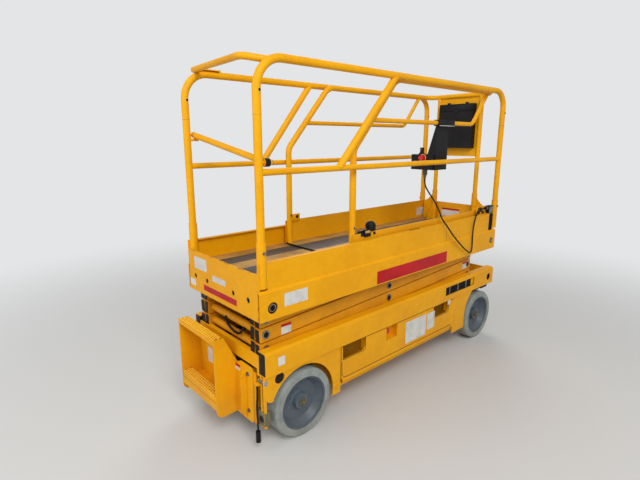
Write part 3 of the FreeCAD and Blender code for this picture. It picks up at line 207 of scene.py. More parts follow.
def build_scratches(nodes: NodeTree, entry: bpy.types.Node) -> bpy.types.NodeSocket:
    """Thin scuffs that run mostly lengthwise: 1 on a scuff."""
    turned = nodes.add("ShaderNodeMapping", {"Vector": place(nodes), "Rotation": (0.1, 0.22, 0.06),
                                             "Scale": (3.0, 60.0, 75.0)}).outputs[0]
    lines = nodes.ramp(nodes.noise(turned, entry.outputs["Scale"], 2.0), 0.66, 0.74)
    patches = nodes.ramp(nodes.noise(place(nodes), 3.5, 3.0), 0.5, 0.7)
    return nodes.math("MULTIPLY", nodes.math("MULTIPLY", lines, patches), entry.outputs["Amount"],
                      clamp=True)


def build_grain(nodes: NodeTree, entry: bpy.types.Node) -> bpy.types.NodeSocket:
    """A fine relief: sprayed, cast or gritty, by its scale."""
    fine = nodes.noise(place(nodes), entry.outputs["Scale"], 4.0)
    return nodes.math("MULTIPLY", fine, entry.outputs["Height"])


class Effect(Enum):
    """The shared effects and the values they take."""

    EDGES = ("worn edges", {"Width": 0.003, "Scale": 22.0, "Amount": 1.0}, build_edges)
    DUST = ("ground dust", {"Top": 0.7, "Amount": 0.4}, build_dust)
    MOTTLE = ("uneven finish", {"Scale": 3.0}, build_mottle)
    SCRATCHES = ("scuffs", {"Scale": 1.0, "Amount": 0.5}, build_scratches)
    GRAIN = ("fine relief", {"Scale": 400.0, "Height": 1.0}, build_grain)

    def placed(self, nodes: NodeTree, **values: float) -> bpy.types.NodeSocket:
        """Puts this effect into a material with its own values.

        Args:
            nodes: the material's tree.
            values: inputs that differ from the defaults, by name.

        Returns:
            The effect's output socket.
        """
        name, inputs, build = self.value
        tree = bpy.data.node_groups.get(name)
        if tree is None:
            tree = shader_group(name, inputs, "Value", build)
        node = nodes.tree.nodes.new("ShaderNodeGroup")
        node.node_tree = tree
        for key, value in values.items():
            node.inputs[key].default_value = value
        return node.outputs["Value"]


# Finishes

DUST_COLOUR = srgb(150, 128, 92)
PRIMER = srgb(96, 78, 62)


@dataclass(frozen=True)
class Finish:
    """A surface finish, as the numbers its material is built from."""

    name: str
    slot: str
    colour: Colour
    second: Colour
    roughness: float
    metallic: float = 0.0
    coat: float = 0.0
    specular: float = 0.5
    mottle_scale: float = 3.0
    grain_scale: float = 400.0
    relief: float = 0.0004
    dust: float = 0.0
    dust_top: float = 0.8
    wear: float = 0.0
    wear_width: float = 0.003
    worn_colour: Colour = PRIMER
    scuffs: float = 0.0
    scuff_colour: Colour = PRIMER

    def material(self) -> bpy.types.Material:
        """The finish's material, built the first time it is asked for."""
        title = self.name + "_finish"
        known = bpy.data.materials.get(title)
        if known:
            return known
        made = bpy.data.materials.new(title)
        nodes = emptied_tree(made)
        colour, worn = self.surface_colour(nodes)
        rough = self.surface_roughness(nodes, worn)
        relief = self.surface_relief(nodes)
        bump = nodes.add("ShaderNodeBump", {"Height": relief, "Distance": self.relief,
                                            "Strength": 1.0})
        shader = nodes.add("ShaderNodeBsdfPrincipled", {
            "Base Color": colour, "Roughness": rough, "Normal": bump.outputs[0],
            "Metallic": self.metallic, "Coat Weight": self.coat, "Coat Roughness": 0.25,
            "Specular IOR Level": self.specular})
        nodes.add("ShaderNodeOutputMaterial", {"Surface": shader.outputs[0]})
        made.diffuse_color = (*self.colour, 1.0)
        return made

    def surface_colour(self, nodes: NodeTree
                       ) -> tuple[bpy.types.NodeSocket, Optional[bpy.types.NodeSocket]]:
        """The base colour with its unevenness, scuffs, worn edges and dust.

        Args:
            nodes: the material's tree.

        Returns:
            The colour socket, and the mask of worn edges if there are any.
        """
        uneven = Effect.MOTTLE.placed(nodes, Scale=self.mottle_scale)
        colour = nodes.mix(uneven, self.colour, self.second)
        worn = None
        if self.scuffs:
            scuffs = Effect.SCRATCHES.placed(nodes, Amount=self.scuffs)
            colour = nodes.mix(scuffs, colour, self.scuff_colour)
        if self.wear:
            worn = Effect.EDGES.placed(nodes, Width=self.wear_width, Amount=self.wear)
            colour = nodes.mix(worn, colour, self.worn_colour)
        if self.dust:
            dust = Effect.DUST.placed(nodes, Top=self.dust_top, Amount=self.dust)
            colour = nodes.mix(dust, colour, DUST_COLOUR)
        return colour, worn

    def surface_roughness(self, nodes: NodeTree, worn: Optional[bpy.types.NodeSocket]
                          ) -> bpy.types.NodeSocket:
        """Roughness that varies with the unevenness and rises where paint has gone."""
        uneven = Effect.MOTTLE.placed(nodes, Scale=self.mottle_scale * 4)
        rough = nodes.math("ADD", self.roughness - 0.05, nodes.math("MULTIPLY", uneven, 0.1))
        if worn is not None:
            rough = nodes.math("ADD", rough, nodes.math("MULTIPLY", worn, 0.25))
        return rough

    def surface_relief(self, nodes: NodeTree) -> bpy.types.NodeSocket:
        """The height that feeds the finish's bump."""
        return Effect.GRAIN.placed(nodes, Scale=self.grain_scale)


@dataclass(frozen=True)
class TyreFinish(Finish):
    """Solid rubber with moulding marks round the wheel's axle."""

    axle: Point = (0.0, 0.0, 0.0)

    def surface_relief(self, nodes: NodeTree) -> bpy.types.NodeSocket:
        """Radial marks across the tread and shoulders, over fine grain."""
        centred = nodes.add("ShaderNodeVectorMath", {0: place(nodes), 1: tuple(self.axle)},
                            operation="SUBTRACT").outputs[0]
        parts = nodes.add("ShaderNodeSeparateXYZ", {0: centred})
        angle = nodes.math("ARCTAN2", parts.outputs[2], parts.outputs[0])
        spokes = nodes.math("SINE", nodes.math("MULTIPLY", angle, 68.0))
        marks = nodes.ramp(spokes, 0.55, 0.95)
        patches = nodes.ramp(nodes.noise(place(nodes), 9.0, 3.0), 0.4, 0.6)
        grain = Effect.GRAIN.placed(nodes, Scale=self.grain_scale, Height=0.5)
        return nodes.math("SUBTRACT", grain, nodes.math("MULTIPLY", marks, patches))


@dataclass(frozen=True)
class DeckFinish(Finish):
    """Yellow paint with a worn floor on the faces that look up, and dark strips along it."""

    floor_colour: Colour = srgb(196, 152, 78)
    floor_second: Colour = srgb(158, 120, 62)
    strips: tuple[tuple[float, float], ...] = ()
    strip_colour: Colour = srgb(62, 58, 54)
    strip_second: Colour = srgb(96, 90, 82)

    def surface_colour(self, nodes: NodeTree
                       ) -> tuple[bpy.types.NodeSocket, Optional[bpy.types.NodeSocket]]:
        """Worn floor paint with the strips over it, and plain paint elsewhere."""
        paint, worn = super().surface_colour(nodes)
        uneven = Effect.MOTTLE.placed(nodes, Scale=7.0)
        floor = nodes.mix(uneven, self.floor_colour, self.floor_second)
        across = nodes.add("ShaderNodeSeparateXYZ", {0: place(nodes)}).outputs[1]
        gritty = nodes.noise(place(nodes), 420.0, 2.0)
        dark = nodes.mix(nodes.ramp(gritty, 0.4, 0.7), self.strip_colour, self.strip_second)
        for low, high in self.strips:
            inside = nodes.math("MULTIPLY", nodes.math("GREATER_THAN", across, low),
                                nodes.math("LESS_THAN", across, high))
            floor = nodes.mix(inside, floor, dark)
        scuffs = Effect.SCRATCHES.placed(nodes, Amount=0.6)
        floor = nodes.mix(scuffs, floor, srgb(84, 66, 46))
        facing = nodes.add("ShaderNodeNewGeometry").outputs["True Normal"]
        up = nodes.add("ShaderNodeSeparateXYZ", {0: facing}).outputs[2]
        return nodes.mix(nodes.math("GREATER_THAN", up, 0.9), paint, floor), worn


PAINT = srgb(238, 168, 0)
PAINT_SECOND = srgb(230, 158, 0)
YELLOW = Finish("yellow_paint", "yellow_paint", PAINT, PAINT_SECOND, 0.5, coat=0.03,
                specular=0.18, dust=0.1, wear=0.75, scuffs=0.16, scuff_colour=srgb(150, 105, 30),
                grain_scale=260.0, relief=0.00015)
WORN_YELLOW = Finish("worn_yellow", "yellow_paint", PAINT, PAINT_SECOND, 0.5, coat=0.03,
                     specular=0.18, dust=0.1, wear=1.0, wear_width=0.011, scuffs=0.35,
                     scuff_colour=srgb(120, 88, 36), worn_colour=srgb(118, 92, 58),
                     grain_scale=260.0, relief=0.0002)
RAIL = Finish("rail_paint", "yellow_paint", srgb(240, 171, 1), srgb(231, 160, 0), 0.48,
              coat=0.03, specular=0.2, wear=0.5, scuffs=0.3, scuff_colour=srgb(140, 98, 30),
              grain_scale=260.0, relief=0.00015)
ARM = Finish("arm_paint", "arm_paint", srgb(224, 150, 2), srgb(208, 136, 3), 0.5,
             coat=0.03, specular=0.2, dust=0.2, wear=0.6, scuffs=0.35,
             scuff_colour=srgb(70, 55, 35), grain_scale=260.0, relief=0.0002)
TREAD = Finish("step_tread", "yellow_paint", srgb(146, 98, 14), srgb(82, 60, 28), 0.65,
               mottle_scale=24.0, dust=0.4, wear=1.0, wear_width=0.004, scuffs=0.5)
RIM = Finish("dark_rim", "dark_rim", srgb(86, 97, 105), srgb(71, 82, 90), 0.45, coat=0.06,
             specular=0.3, dust=0.15, dust_top=0.25, wear=0.4, worn_colour=srgb(128, 126, 118))
BLACK_STEEL = Finish("dark_steel", "dark_steel", srgb(40, 39, 39), srgb(27, 26, 26), 0.55,
                     specular=0.3, dust=0.4, wear=0.4, worn_colour=srgb(90, 86, 80))
CHROME = Finish("bright_rod", "bright_rod", srgb(205, 206, 208), srgb(190, 192, 195), 0.12,
                metallic=1.0, relief=0.00002)
STEEL = Finish("bare_steel", "dark_steel", srgb(150, 148, 142), srgb(110, 106, 98), 0.38,
               metallic=0.85, mottle_scale=40.0, relief=0.0001)
BRASS = Finish("brass_nut", "bright_rod", srgb(150, 138, 108), srgb(112, 100, 72), 0.4,
               metallic=0.85, mottle_scale=60.0, relief=0.0001)
BLACK_PLASTIC = Finish("black_plastic", "black_plastic", srgb(20, 20, 22), srgb(13, 13, 15), 0.5,
                       specular=0.25, grain_scale=900.0, relief=0.00025, wear=0.3,
                       worn_colour=srgb(60, 60, 62), scuffs=0.3, scuff_colour=srgb(80, 80, 82))
RED_PLASTIC = Finish("red_plastic", "red_plastic", srgb(205, 28, 24), srgb(180, 20, 18), 0.32,
                     coat=0.2, grain_scale=900.0, relief=0.0001)
GREY_PLASTIC = Finish("grey_plastic", "grey_plastic", srgb(96, 100, 78), srgb(74, 78, 60), 0.5,
                      specular=0.3, grain_scale=700.0, relief=0.0002)
RUBBER = Finish("cable_rubber", "cable_rubber", srgb(22, 22, 22), srgb(15, 15, 15), 0.6,
                specular=0.25, grain_scale=700.0, relief=0.0001)
INLET = Finish("inlet_green", "grey_plastic", srgb(100, 102, 80), srgb(82, 84, 66), 0.55,
               specular=0.3, grain_scale=700.0, relief=0.0002, dust=0.4)
STUD = Finish("stud_yellow", "yellow_paint", srgb(250, 190, 20), srgb(240, 172, 10), 0.45,
              specular=0.3, relief=0.0001)
# Darker yellow for painted shade on the backs and floors inside the door's notches.
SHADE = Finish("pocket_shade", "yellow_paint", srgb(148, 98, 6), srgb(118, 78, 8), 0.7,
               specular=0.1, relief=0.0001)
BRIGHT = Finish("plated_steel", "bright_rod", srgb(214, 212, 206), srgb(170, 166, 158), 0.3,
                metallic=0.6, mottle_scale=40.0, relief=0.0001)
COLLAR = Finish("yellow_collar", "yellow_paint", srgb(214, 196, 40), srgb(190, 170, 30), 0.45,
                relief=0.0001)
GOLD_PLATE = Finish("gold_plate", "bright_rod", srgb(206, 160, 96), srgb(170, 124, 70), 0.4,
                    relief=0.0001)
GREY_PLATE = Finish("grey_plate", "black_plastic", srgb(92, 94, 96), srgb(70, 72, 74), 0.45,
                    relief=0.0001)
PRIMER_DARK = Finish("seam_brown", "yellow_paint", srgb(132, 88, 16), srgb(104, 68, 14), 0.6,
                     relief=0.0001)
# Black for dark trim, seams, strips and screws, and for painted shade in gaps, holes and hollows.
DARK = Finish("shade_and_trim_black", "black_plastic", srgb(16, 15, 15), srgb(10, 10, 10), 0.75,
              specular=0.15, dust=0.15, relief=0.0001)
WHITE_PLATE = Finish("white_plate", "yellow_paint", srgb(216, 214, 208), srgb(196, 193, 184), 0.45,
                     coat=0.1, specular=0.3, mottle_scale=14.0, scuffs=0.25,
                     scuff_colour=srgb(140, 128, 108), relief=0.00004)
RED_PLATE = Finish("red_plate", "red_plastic", srgb(192, 20, 28), srgb(172, 14, 22), 0.45,
                   coat=0.04, specular=0.2, scuffs=0.12, scuff_colour=srgb(215, 160, 140),
                   relief=0.00004)
FLOOR_PAINT = DeckFinish("deck_grip", "deck_grip", PAINT, PAINT_SECOND, 0.55, specular=0.3,
                         wear=0.7, scuffs=0.2, scuff_colour=srgb(140, 98, 30),
                         grain_scale=420.0, relief=0.0004,
                         strips=((-0.385, -0.255), (-0.125, 0.005), (0.135, 0.265)))
SLIDE_PAINT = DeckFinish("slide_grip", "deck_grip", PAINT, PAINT_SECOND, 0.55, specular=0.3,
                         wear=0.7, scuffs=0.2, scuff_colour=srgb(140, 98, 30),
                         grain_scale=420.0, relief=0.0004,
                         strips=((-0.215, -0.03), (0.03, 0.215)))


# Mesh helpers

def linked(name: str, data: bpy.types.ID) -> bpy.types.Object:
    """A new object for some data, linked into the scene."""
    obj = bpy.data.objects.new(name, data)
    bpy.context.collection.objects.link(obj)
    return obj


def mesh_object(name: str, shape: bmesh.types.BMesh) -> bpy.types.Object:
    """A new object from a bmesh, which is freed."""
    mesh = bpy.data.meshes.new(name)
    shape.to_mesh(mesh)
    shape.free()
    return linked(name, mesh)


@dataclass
class Workshop:
    """Makes, dresses and reports pieces."""

    made: int = 0

    def finish_piece(self, obj: bpy.types.Object, finish: Finish, body: str) -> bpy.types.Object:
        """Gives a piece its material and body, and reports it."""
        obj.data.materials.clear()
        obj.data.materials.append(finish.material())
        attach(obj, body)
        self.made += 1
        log.info("%s on %s: %d faces", obj.name, body, len(getattr(obj.data, "polygons", ())))
        return obj

    def piece(self, name: str, shape: bmesh.types.BMesh, finish: Finish, body: str,
              smooth_degrees: float = 40.0) -> bpy.types.Object:
        """A finished piece from a bmesh.

        Args:
            name: the piece's name.
            shape: its closed shape, which is freed.
            finish: its finish.
            body: the body it rides on.
            smooth_degrees: edges sharper than this stay sharp.

        Returns:
            The piece's object.
        """
        bmesh.ops.recalc_face_normals(shape, faces=shape.faces)
        for face in shape.faces:
            face.smooth = True
        for edge in shape.edges:
            edge.smooth = edge.calc_face_angle(0.0) < math.radians(smooth_degrees)
        return self.finish_piece(mesh_object(name, shape), finish, body)

    def dress(self, node: str, finish: Finish) -> None:
        """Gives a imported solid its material."""
        obj = frame["nodes"][node]
        made = finish.material()
        if not obj.material_slots:
            obj.data.materials.append(made)
        for slot in obj.material_slots:
            slot.material = made
        log.info("%s dressed as %s", node, finish.name)

    def dress_all(self, nodes: Iterable[str], finish: Finish) -> None:
        """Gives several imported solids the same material."""
        for node in nodes:
            self.dress(node, finish)


def add_box(shape: bmesh.types.BMesh, low: Point, high: Point, bevel: float = 0.0,
            segments: int = 2, turn: Optional[Matrix] = None) -> None:
    """Adds a block with rounded edges.

    Args:
        shape: the mesh it goes into.
        low: its lowest corner.
        high: its highest corner.
        bevel: the edges' radius.
        segments: faces across each edge's round.
        turn: a turn about the block's middle.
    """
    middle = (Vector(low) + Vector(high)) / 2
    size = Vector(high) - Vector(low)
    place_at = Matrix.Translation(middle) @ (turn.to_4x4() if turn else Matrix.Identity(4))
    corners = bmesh.ops.create_cube(shape, size=1.0,
                                    matrix=place_at @ Matrix.Diagonal((*size, 1.0)))["verts"]
    if bevel:
        edges = list({edge for corner in corners for edge in corner.link_edges})
        bmesh.ops.bevel(shape, geom=edges, offset=bevel, segments=segments, profile=0.5,
                        affect="EDGES")


def add_turned(shape: bmesh.types.BMesh, outline: Sequence[tuple[float, float]], base: Point,
               axis: Point, steps: int = 24) -> None:
    """Adds a round solid from an outline.

    Args:
        shape: the mesh it goes into.
        outline: (radius, distance along the axis) points, from one end to the other, or
            round to the first point again for a ring with a hole.
        base: where the distance is zero.
        axis: the solid's axis.
        steps: corners round the axis.
    """
    turn = Vector((0, 0, 1)).rotation_difference(Vector(axis)).to_matrix().to_4x4()
    spot = Matrix.Translation(Vector(base)) @ turn
    rings = []
    hollow = outline[0] == outline[-1]
    for radius, along in outline[:-1] if hollow else outline:
        if radius < 1e-6:
            rings.append([shape.verts.new(spot @ Vector((0, 0, along)))])
            continue
        rings.append([shape.verts.new(spot @ Vector((radius * math.cos(a), radius * math.sin(a),
                                                     along)))
                      for a in (2 * math.pi * i / steps for i in range(steps))])
    if hollow:
        rings.append(rings[0])
    for first, second in zip(rings, rings[1:]):
        for i in range(steps):
            j = (i + 1) % steps
            if len(first) == 1 and len(second) == 1:
                continue
            if len(first) == 1:
                shape.faces.new((first[0], second[i], second[j]))
            elif len(second) == 1:
                shape.faces.new((first[i], first[j], second[0]))
            else:
                shape.faces.new((first[i], first[j], second[j], second[i]))
    for ring in () if hollow else (rings[0], rings[-1]):
        if len(ring) > 1:
            shape.faces.new(ring)


def add_plate(shape: bmesh.types.BMesh, outline: Sequence[tuple[float, float]],
              span: tuple[float, float], axis: int) -> None:
    """Adds a flat plate cut to an outline.

    Args:
        shape: the mesh in work.
        outline: (flat, up) points round the plate; flat runs along y for axis 0 and x for 1.
        span: the plate's two faces along the axis.
        axis: 0 for a plate facing along x, 1 for one facing along y.
    """
    rings = []
    for along in span:
        rings.append([shape.verts.new((along, flat, up) if axis == 0 else (flat, along, up))
                      for flat, up in outline])
    low, high = rings
    for i in range(len(outline)):
        j = (i + 1) % len(outline)
        shape.faces.new((low[i], low[j], high[j], high[i]))
    shape.faces.new(low[::-1])
    shape.faces.new(high)


def add_tube(shape: bmesh.types.BMesh, line: Sequence[Vector], radius: float,
             steps: int = 12, widths: Optional[Sequence[float]] = None) -> None:
    """Adds a closed tube along a smooth line.

    Args:
        shape: the mesh it goes into.
        line: points along the tube's middle.
        radius: the tube's radius.
        steps: corners round it.
        widths: a factor on the radius at each point.
    """
    rings: list[list[bmesh.types.BMVert]] = []
    across = Vector((0, 0, 1))
    for i, spot in enumerate(line):
        ahead = (line[min(i + 1, len(line) - 1)] - line[max(i - 1, 0)]).normalized()
        if i == 0:
            across = ahead.orthogonal().normalized()
        across = (across - ahead * across.dot(ahead)).normalized()
        other = ahead.cross(across)
        size = radius * (widths[i] if widths else 1.0)
        rings.append([shape.verts.new(spot + (across * math.cos(a) + other * math.sin(a)) * size)
                      for a in (2 * math.pi * k / steps for k in range(steps))])
    for first, second in zip(rings, rings[1:]):
        for k in range(steps):
            n = (k + 1) % steps
            shape.faces.new((first[k], first[n], second[n], second[k]))
    shape.faces.new(rings[0])
    shape.faces.new(rings[-1])


def smooth_line(points: Iterable[Point], per_run: int = 8) -> list[Vector]:
    """Points of a smooth open line that is led by the given ones."""
    curve = nurbs_curve("line_guide", points, per_run)
    line = line_of(curve)
    bpy.data.objects.remove(curve)
    return line


def nurbs_curve(name: str, points: Iterable[Point], per_run: int = 8) -> bpy.types.Object:
    """A curve of one open spline with the given control points."""
    points = [tuple(p) for p in points]
    data = bpy.data.curves.new(name, "CURVE")
    data.dimensions = "3D"
    spline = data.splines.new("NURBS")
    spline.points.add(len(points) - 1)
    for spot, place_at in zip(spline.points, points):
        spot.co = (*place_at, 1.0)
    spline.order_u = 3
    spline.use_endpoint_u = True
    spline.resolution_u = per_run
    return linked(name, data)


def line_of(curve: bpy.types.Object) -> list[Vector]:
    """The points of a curve's own line, in order."""
    bpy.context.view_layer.update()
    evaluated = curve.evaluated_get(bpy.context.evaluated_depsgraph_get())
    mesh = bpy.data.meshes.new_from_object(evaluated)
    line = [v.co.copy() for v in mesh.vertices]
    bpy.data.meshes.remove(mesh)
    return line


# Geometry Nodes trees

class Repeater:
    """A Geometry Nodes tree that sets one small solid at many points, facing one way."""

    def __init__(self, name: str, sizes: dict[str, float]) -> None:
        """Starts the tree.

        Args:
            name: the tree's name.
            sizes: its named size inputs and their values.
        """
        self.sizes = sizes
        self.tree = bpy.data.node_groups.new(name, "GeometryNodeTree")
        face = self.tree.interface
        face.new_socket("Geometry", in_out="INPUT", socket_type="NodeSocketGeometry")
        self.keys: dict[str, str] = {}
        for key, value in sizes.items():
            socket = face.new_socket(key, in_out="INPUT", socket_type="NodeSocketFloat")
            socket.default_value = value
            self.keys[key] = socket.identifier
        for key, kind in (("Facing", "NodeSocketVector"), ("Finish", "NodeSocketMaterial")):
            self.keys[key] = face.new_socket(key, in_out="INPUT", socket_type=kind).identifier
        face.new_socket("Geometry", in_out="OUTPUT", socket_type="NodeSocketGeometry")
        self.nodes = NodeTree(self.tree)
        self.entry = self.nodes.add("NodeGroupInput")

    def close(self, solid: bpy.types.NodeSocket) -> None:
        """Instances the solid at the input's points, realizes it and sets its material."""
        turn = self.nodes.add("FunctionNodeAlignRotationToVector",
                              {"Vector": self.entry.outputs["Facing"]}, axis="Z")
        placed = self.nodes.add("GeometryNodeInstanceOnPoints", {
            "Points": self.entry.outputs["Geometry"], "Instance": solid,
            "Rotation": turn.outputs[0]})
        whole = self.nodes.add("GeometryNodeRealizeInstances", {0: placed.outputs[0]})
        done = self.nodes.add("GeometryNodeSetMaterial", {
            "Geometry": whole.outputs[0], "Material": self.entry.outputs["Finish"]})
        self.nodes.add("NodeGroupOutput", {0: done.outputs[0]})

    def make(self, name: str, points: Sequence[Point], facing: Point, finish: Finish,
             body: str, shop: Workshop, **sizes: float) -> bpy.types.Object:
        """One piece with the solid at every point.

        Args:
            name: the piece's name.
            points: where the solids sit.
            facing: the way they face.
            finish: their finish.
            body: the body they ride on.
            shop: what dresses and reports the piece.
            sizes: sizes that differ from the tree's own.

        Returns:
            The piece, as a plain mesh.
        """
        seeds = bpy.data.meshes.new(name + "_points")
        seeds.from_pydata([tuple(p) for p in points], [], [])
        obj = linked(name, seeds)
        modifier = obj.modifiers.new("repeat", "NODES")
        modifier.node_group = self.tree
        for key, value in {**self.sizes, **sizes}.items():
            modifier[self.keys[key]] = value
        modifier[self.keys["Facing"]] = tuple(float(v) for v in facing)
        modifier[self.keys["Finish"]] = finish.material()
        bpy.context.view_layer.update()
        evaluated = obj.evaluated_get(bpy.context.evaluated_depsgraph_get())
        mesh = bpy.data.meshes.new_from_object(evaluated)
        obj.modifiers.clear()
        obj.data = mesh
        return shop.finish_piece(obj, finish, body)


def bolt_tree() -> Repeater:
    """Hexagon bolt heads on round washers."""
    maker = Repeater("bolt_heads", {"Head Radius": 0.009, "Head Height": 0.006,
                                    "Washer Radius": 0.013, "Washer Height": 0.002})
    nodes, entry = maker.nodes, maker.entry
    head = nodes.add("GeometryNodeMeshCylinder", {
        "Vertices": 6, "Radius": entry.outputs["Head Radius"],
        "Depth": entry.outputs["Head Height"]})
    washer = nodes.add("GeometryNodeMeshCylinder", {
        "Vertices": 20, "Radius": entry.outputs["Washer Radius"],
        "Depth": entry.outputs["Washer Height"]})
    half_head = nodes.math("DIVIDE", entry.outputs["Head Height"], 2.0)
    half_washer = nodes.math("DIVIDE", entry.outputs["Washer Height"], 2.0)
    up = nodes.math("ADD", half_head, entry.outputs["Washer Height"])
    raised = []
    for solid, height in ((head, up), (washer, half_washer)):
        shift = nodes.add("ShaderNodeCombineXYZ", {2: height})
        raised.append(nodes.add("GeometryNodeTransform", {
            "Geometry": solid.outputs[0], "Translation": shift.outputs[0]}))
    both = nodes.add("GeometryNodeJoinGeometry")
    for solid in raised:
        nodes.tree.links.new(solid.outputs[0], both.inputs[0])
    maker.close(both.outputs[0])
    return maker


def stud_tree() -> Repeater:
    """Raised punched studs, as on a step's tread."""
    maker = Repeater("tread_studs", {"Foot Radius": 0.0075, "Top Radius": 0.0042, "Height": 0.0042})
    nodes, entry = maker.nodes, maker.entry
    cone = nodes.add("GeometryNodeMeshCone", {
        "Vertices": 10, "Radius Bottom": entry.outputs["Foot Radius"],
        "Radius Top": entry.outputs["Top Radius"], "Depth": entry.outputs["Height"]})
    maker.close(cone.outputs[0])
    return maker


def ring_tree() -> Repeater:
    """Flat rings stacked along one axis, as in a bellows or a strain relief."""
    maker = Repeater("stacked_rings", {"Ring Radius": 0.012, "Ring Thickness": 0.003})
    nodes, entry = maker.nodes, maker.entry
    circle = nodes.add("GeometryNodeCurvePrimitiveCircle", {
        "Resolution": 20, "Radius": entry.outputs["Ring Radius"]})
    section = nodes.add("GeometryNodeCurvePrimitiveCircle", {
        "Resolution": 8, "Radius": entry.outputs["Ring Thickness"]})
    ring = nodes.add("GeometryNodeCurveToMesh", {
        "Curve": circle.outputs[0], "Profile Curve": section.outputs[0]})
    maker.close(ring.outputs[0])
    return maker


class Kit:
    """The shop and the repeating trees that every sub-assembly uses."""

    def __init__(self) -> None:
        """Builds the trees once."""
        self.shop = Workshop()
        self.bolts = bolt_tree()
        self.studs = stud_tree()
        self.rings = ring_tree()


# Places read from the frame

class Spot(NamedTuple):
    """A place on the frame's three axes, in metres."""

    x: float
    y: float
    z: float


class Extent(NamedTuple):
    """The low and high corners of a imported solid."""

    low: Spot
    high: Spot

    @property
    def middle(self) -> Spot:
        """The point halfway between the corners."""
        return Spot(*(round((low + high) / 2, 4) for low, high in zip(self.low, self.high)))


def extent(node: str) -> Extent:
    """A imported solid's corners, to a tenth of a millimetre."""
    corners = list(frame["nodes"][node].bound_box)
    low, high = (Spot(*(round(pick(corner[axis] for corner in corners), 4) for axis in range(3)))
                 for pick in (min, max))
    return Extent(low, high)


def pivot(joint: str) -> Spot:
    """Where a joint of the frame turns, to a tenth of a millimetre."""
    found = next(row for row in frame["joints"] if row["name"] == joint)
    return Spot(*(round(value, 4) for value in found["pos_m"]))


CHASSIS = extent("chassis_frame")
SIDE_PLATES = extent("side_plates_far")
TRAY = extent("tray_far")
STEP = extent("entry_step")
TYRE = extent("tyre_rear_far")
ARMS = extent("outer_arms_2")
SKIRT = extent("side_skirt_far")
RAILS = extent("outer_rails_far")
CONTROLS = extent("control_stand")
JOYSTICK = extent("joystick")
CABLE_PLUG = extent("cable_plug")
STOP = extent("stop_button")
BOOK = extent("document_box")


# Sizes of repeated fasteners

LIP_SCREW = {"Head Radius": 0.005, "Head Height": 0.002, "Washer Radius": 0.007,
             "Washer Height": 0.001}
POST_SCREW = {"Head Radius": 0.005, "Head Height": 0.003, "Washer Radius": 0.0065,
              "Washer Height": 0.001}
BOX_SCREW = {"Head Radius": 0.003, "Head Height": 0.0015, "Washer Radius": 0.0045,
             "Washer Height": 0.0008}
SOCKET_BOLT = {"Head Radius": 0.007, "Washer Radius": 0.009}
FOOT_BOLT = {"Head Radius": 0.006, "Washer Radius": 0.008}

PLATE_DEPTH = 0.001


# Makers of simple pieces

class Side(Enum):
    """The photographed side and the one behind it."""

    NEAR = -1
    FAR = 1

    @property
    def word(self) -> str:
        """The side's word in piece names."""
        return self.name.lower()

    @property
    def out(self) -> Point:
        """The way that this side faces."""
        return (0, self.value, 0)

    def at(self, far_y: float) -> float:
        """A far side's y, on this side."""
        return self.value * far_y


def both_sides(low: Point, high: Point) -> list[tuple[Point, Point]]:
    """The corners of a far-side block, on each side in turn."""
    return [((low[0], side.at(low[1]), low[2]), (high[0], side.at(high[1]), high[2]))
            for side in Side]


def blocks(kit: Kit, name: str, rows: Iterable[tuple[Point, Point]], finish: Finish, body: str,
           bevel: float = 0.001) -> None:
    """One piece of blocks, each given by any two opposite corners."""
    shape = bmesh.new()
    for first, second in rows:
        low, high = zip(*(sorted(pair) for pair in zip(first, second)))
        add_box(shape, low, high, bevel, 1 if bevel < 0.001 else 2)
    kit.shop.piece(name, shape, finish, body)


def rounds(kit: Kit, name: str, outline: Sequence[Flat], bases: Iterable[Point], axis: Point,
           finish: Finish, body: str, steps: int = 24) -> None:
    """One piece with the same turned solid at every base."""
    shape = bmesh.new()
    for base in bases:
        add_turned(shape, outline, base, axis, steps)
    kit.shop.piece(name, shape, finish, body, TURNED_DEGREES)


def hoses(kit: Kit, name: str, lines: Iterable[Sequence[Point]], radius: float, finish: Finish,
          body: str) -> None:
    """One piece of several smooth hoses or rods."""
    shape = bmesh.new()
    for line in lines:
        add_tube(shape, smooth_line(line), radius, 8)
    kit.shop.piece(name, shape, finish, body)


def label(kit: Kit, name: str, low: Point, high: Point, finish: Finish, body: str) -> None:
    """A bare coloured plate, thin along its shortest side."""
    blocks(kit, name, [(low, high)], finish, body, 0.0004)


def side_label(kit: Kit, name: str, side: Side, face_y: float, low: Flat, high: Flat,
               finish: Finish, body: str) -> None:
    """A bare plate on a face that looks sideways, with its corners as (x, z)."""
    label(kit, f"{name}_{side.word}", (low[0], side.at(face_y), low[1]),
          (high[0], side.at(face_y + PLATE_DEPTH), high[1]), finish, body)


def rear_label(kit: Kit, name: str, face_x: float, low: Flat, high: Flat, finish: Finish,
               body: str) -> None:
    """A bare plate on a face that looks to the rear, with its corners as (y, z)."""
    label(kit, name, (face_x - PLATE_DEPTH, *low), (face_x, *high), finish, body)


def disc(radius: float, depth: float, rim: float = 0.001) -> list[Flat]:
    """A turned outline of a flat disc with a rounded rim."""
    return [(radius, 0.0), (radius, depth - rim), (radius - rim, depth), (0.0, depth)]


def ring(inner: float, outer: float, depth: float) -> list[Flat]:
    """A turned outline of a flat ring with a hole."""
    return [(inner, 0.0), (outer, 0.0), (outer, depth), (inner, depth), (inner, 0.0)]


# Sub-assemblies

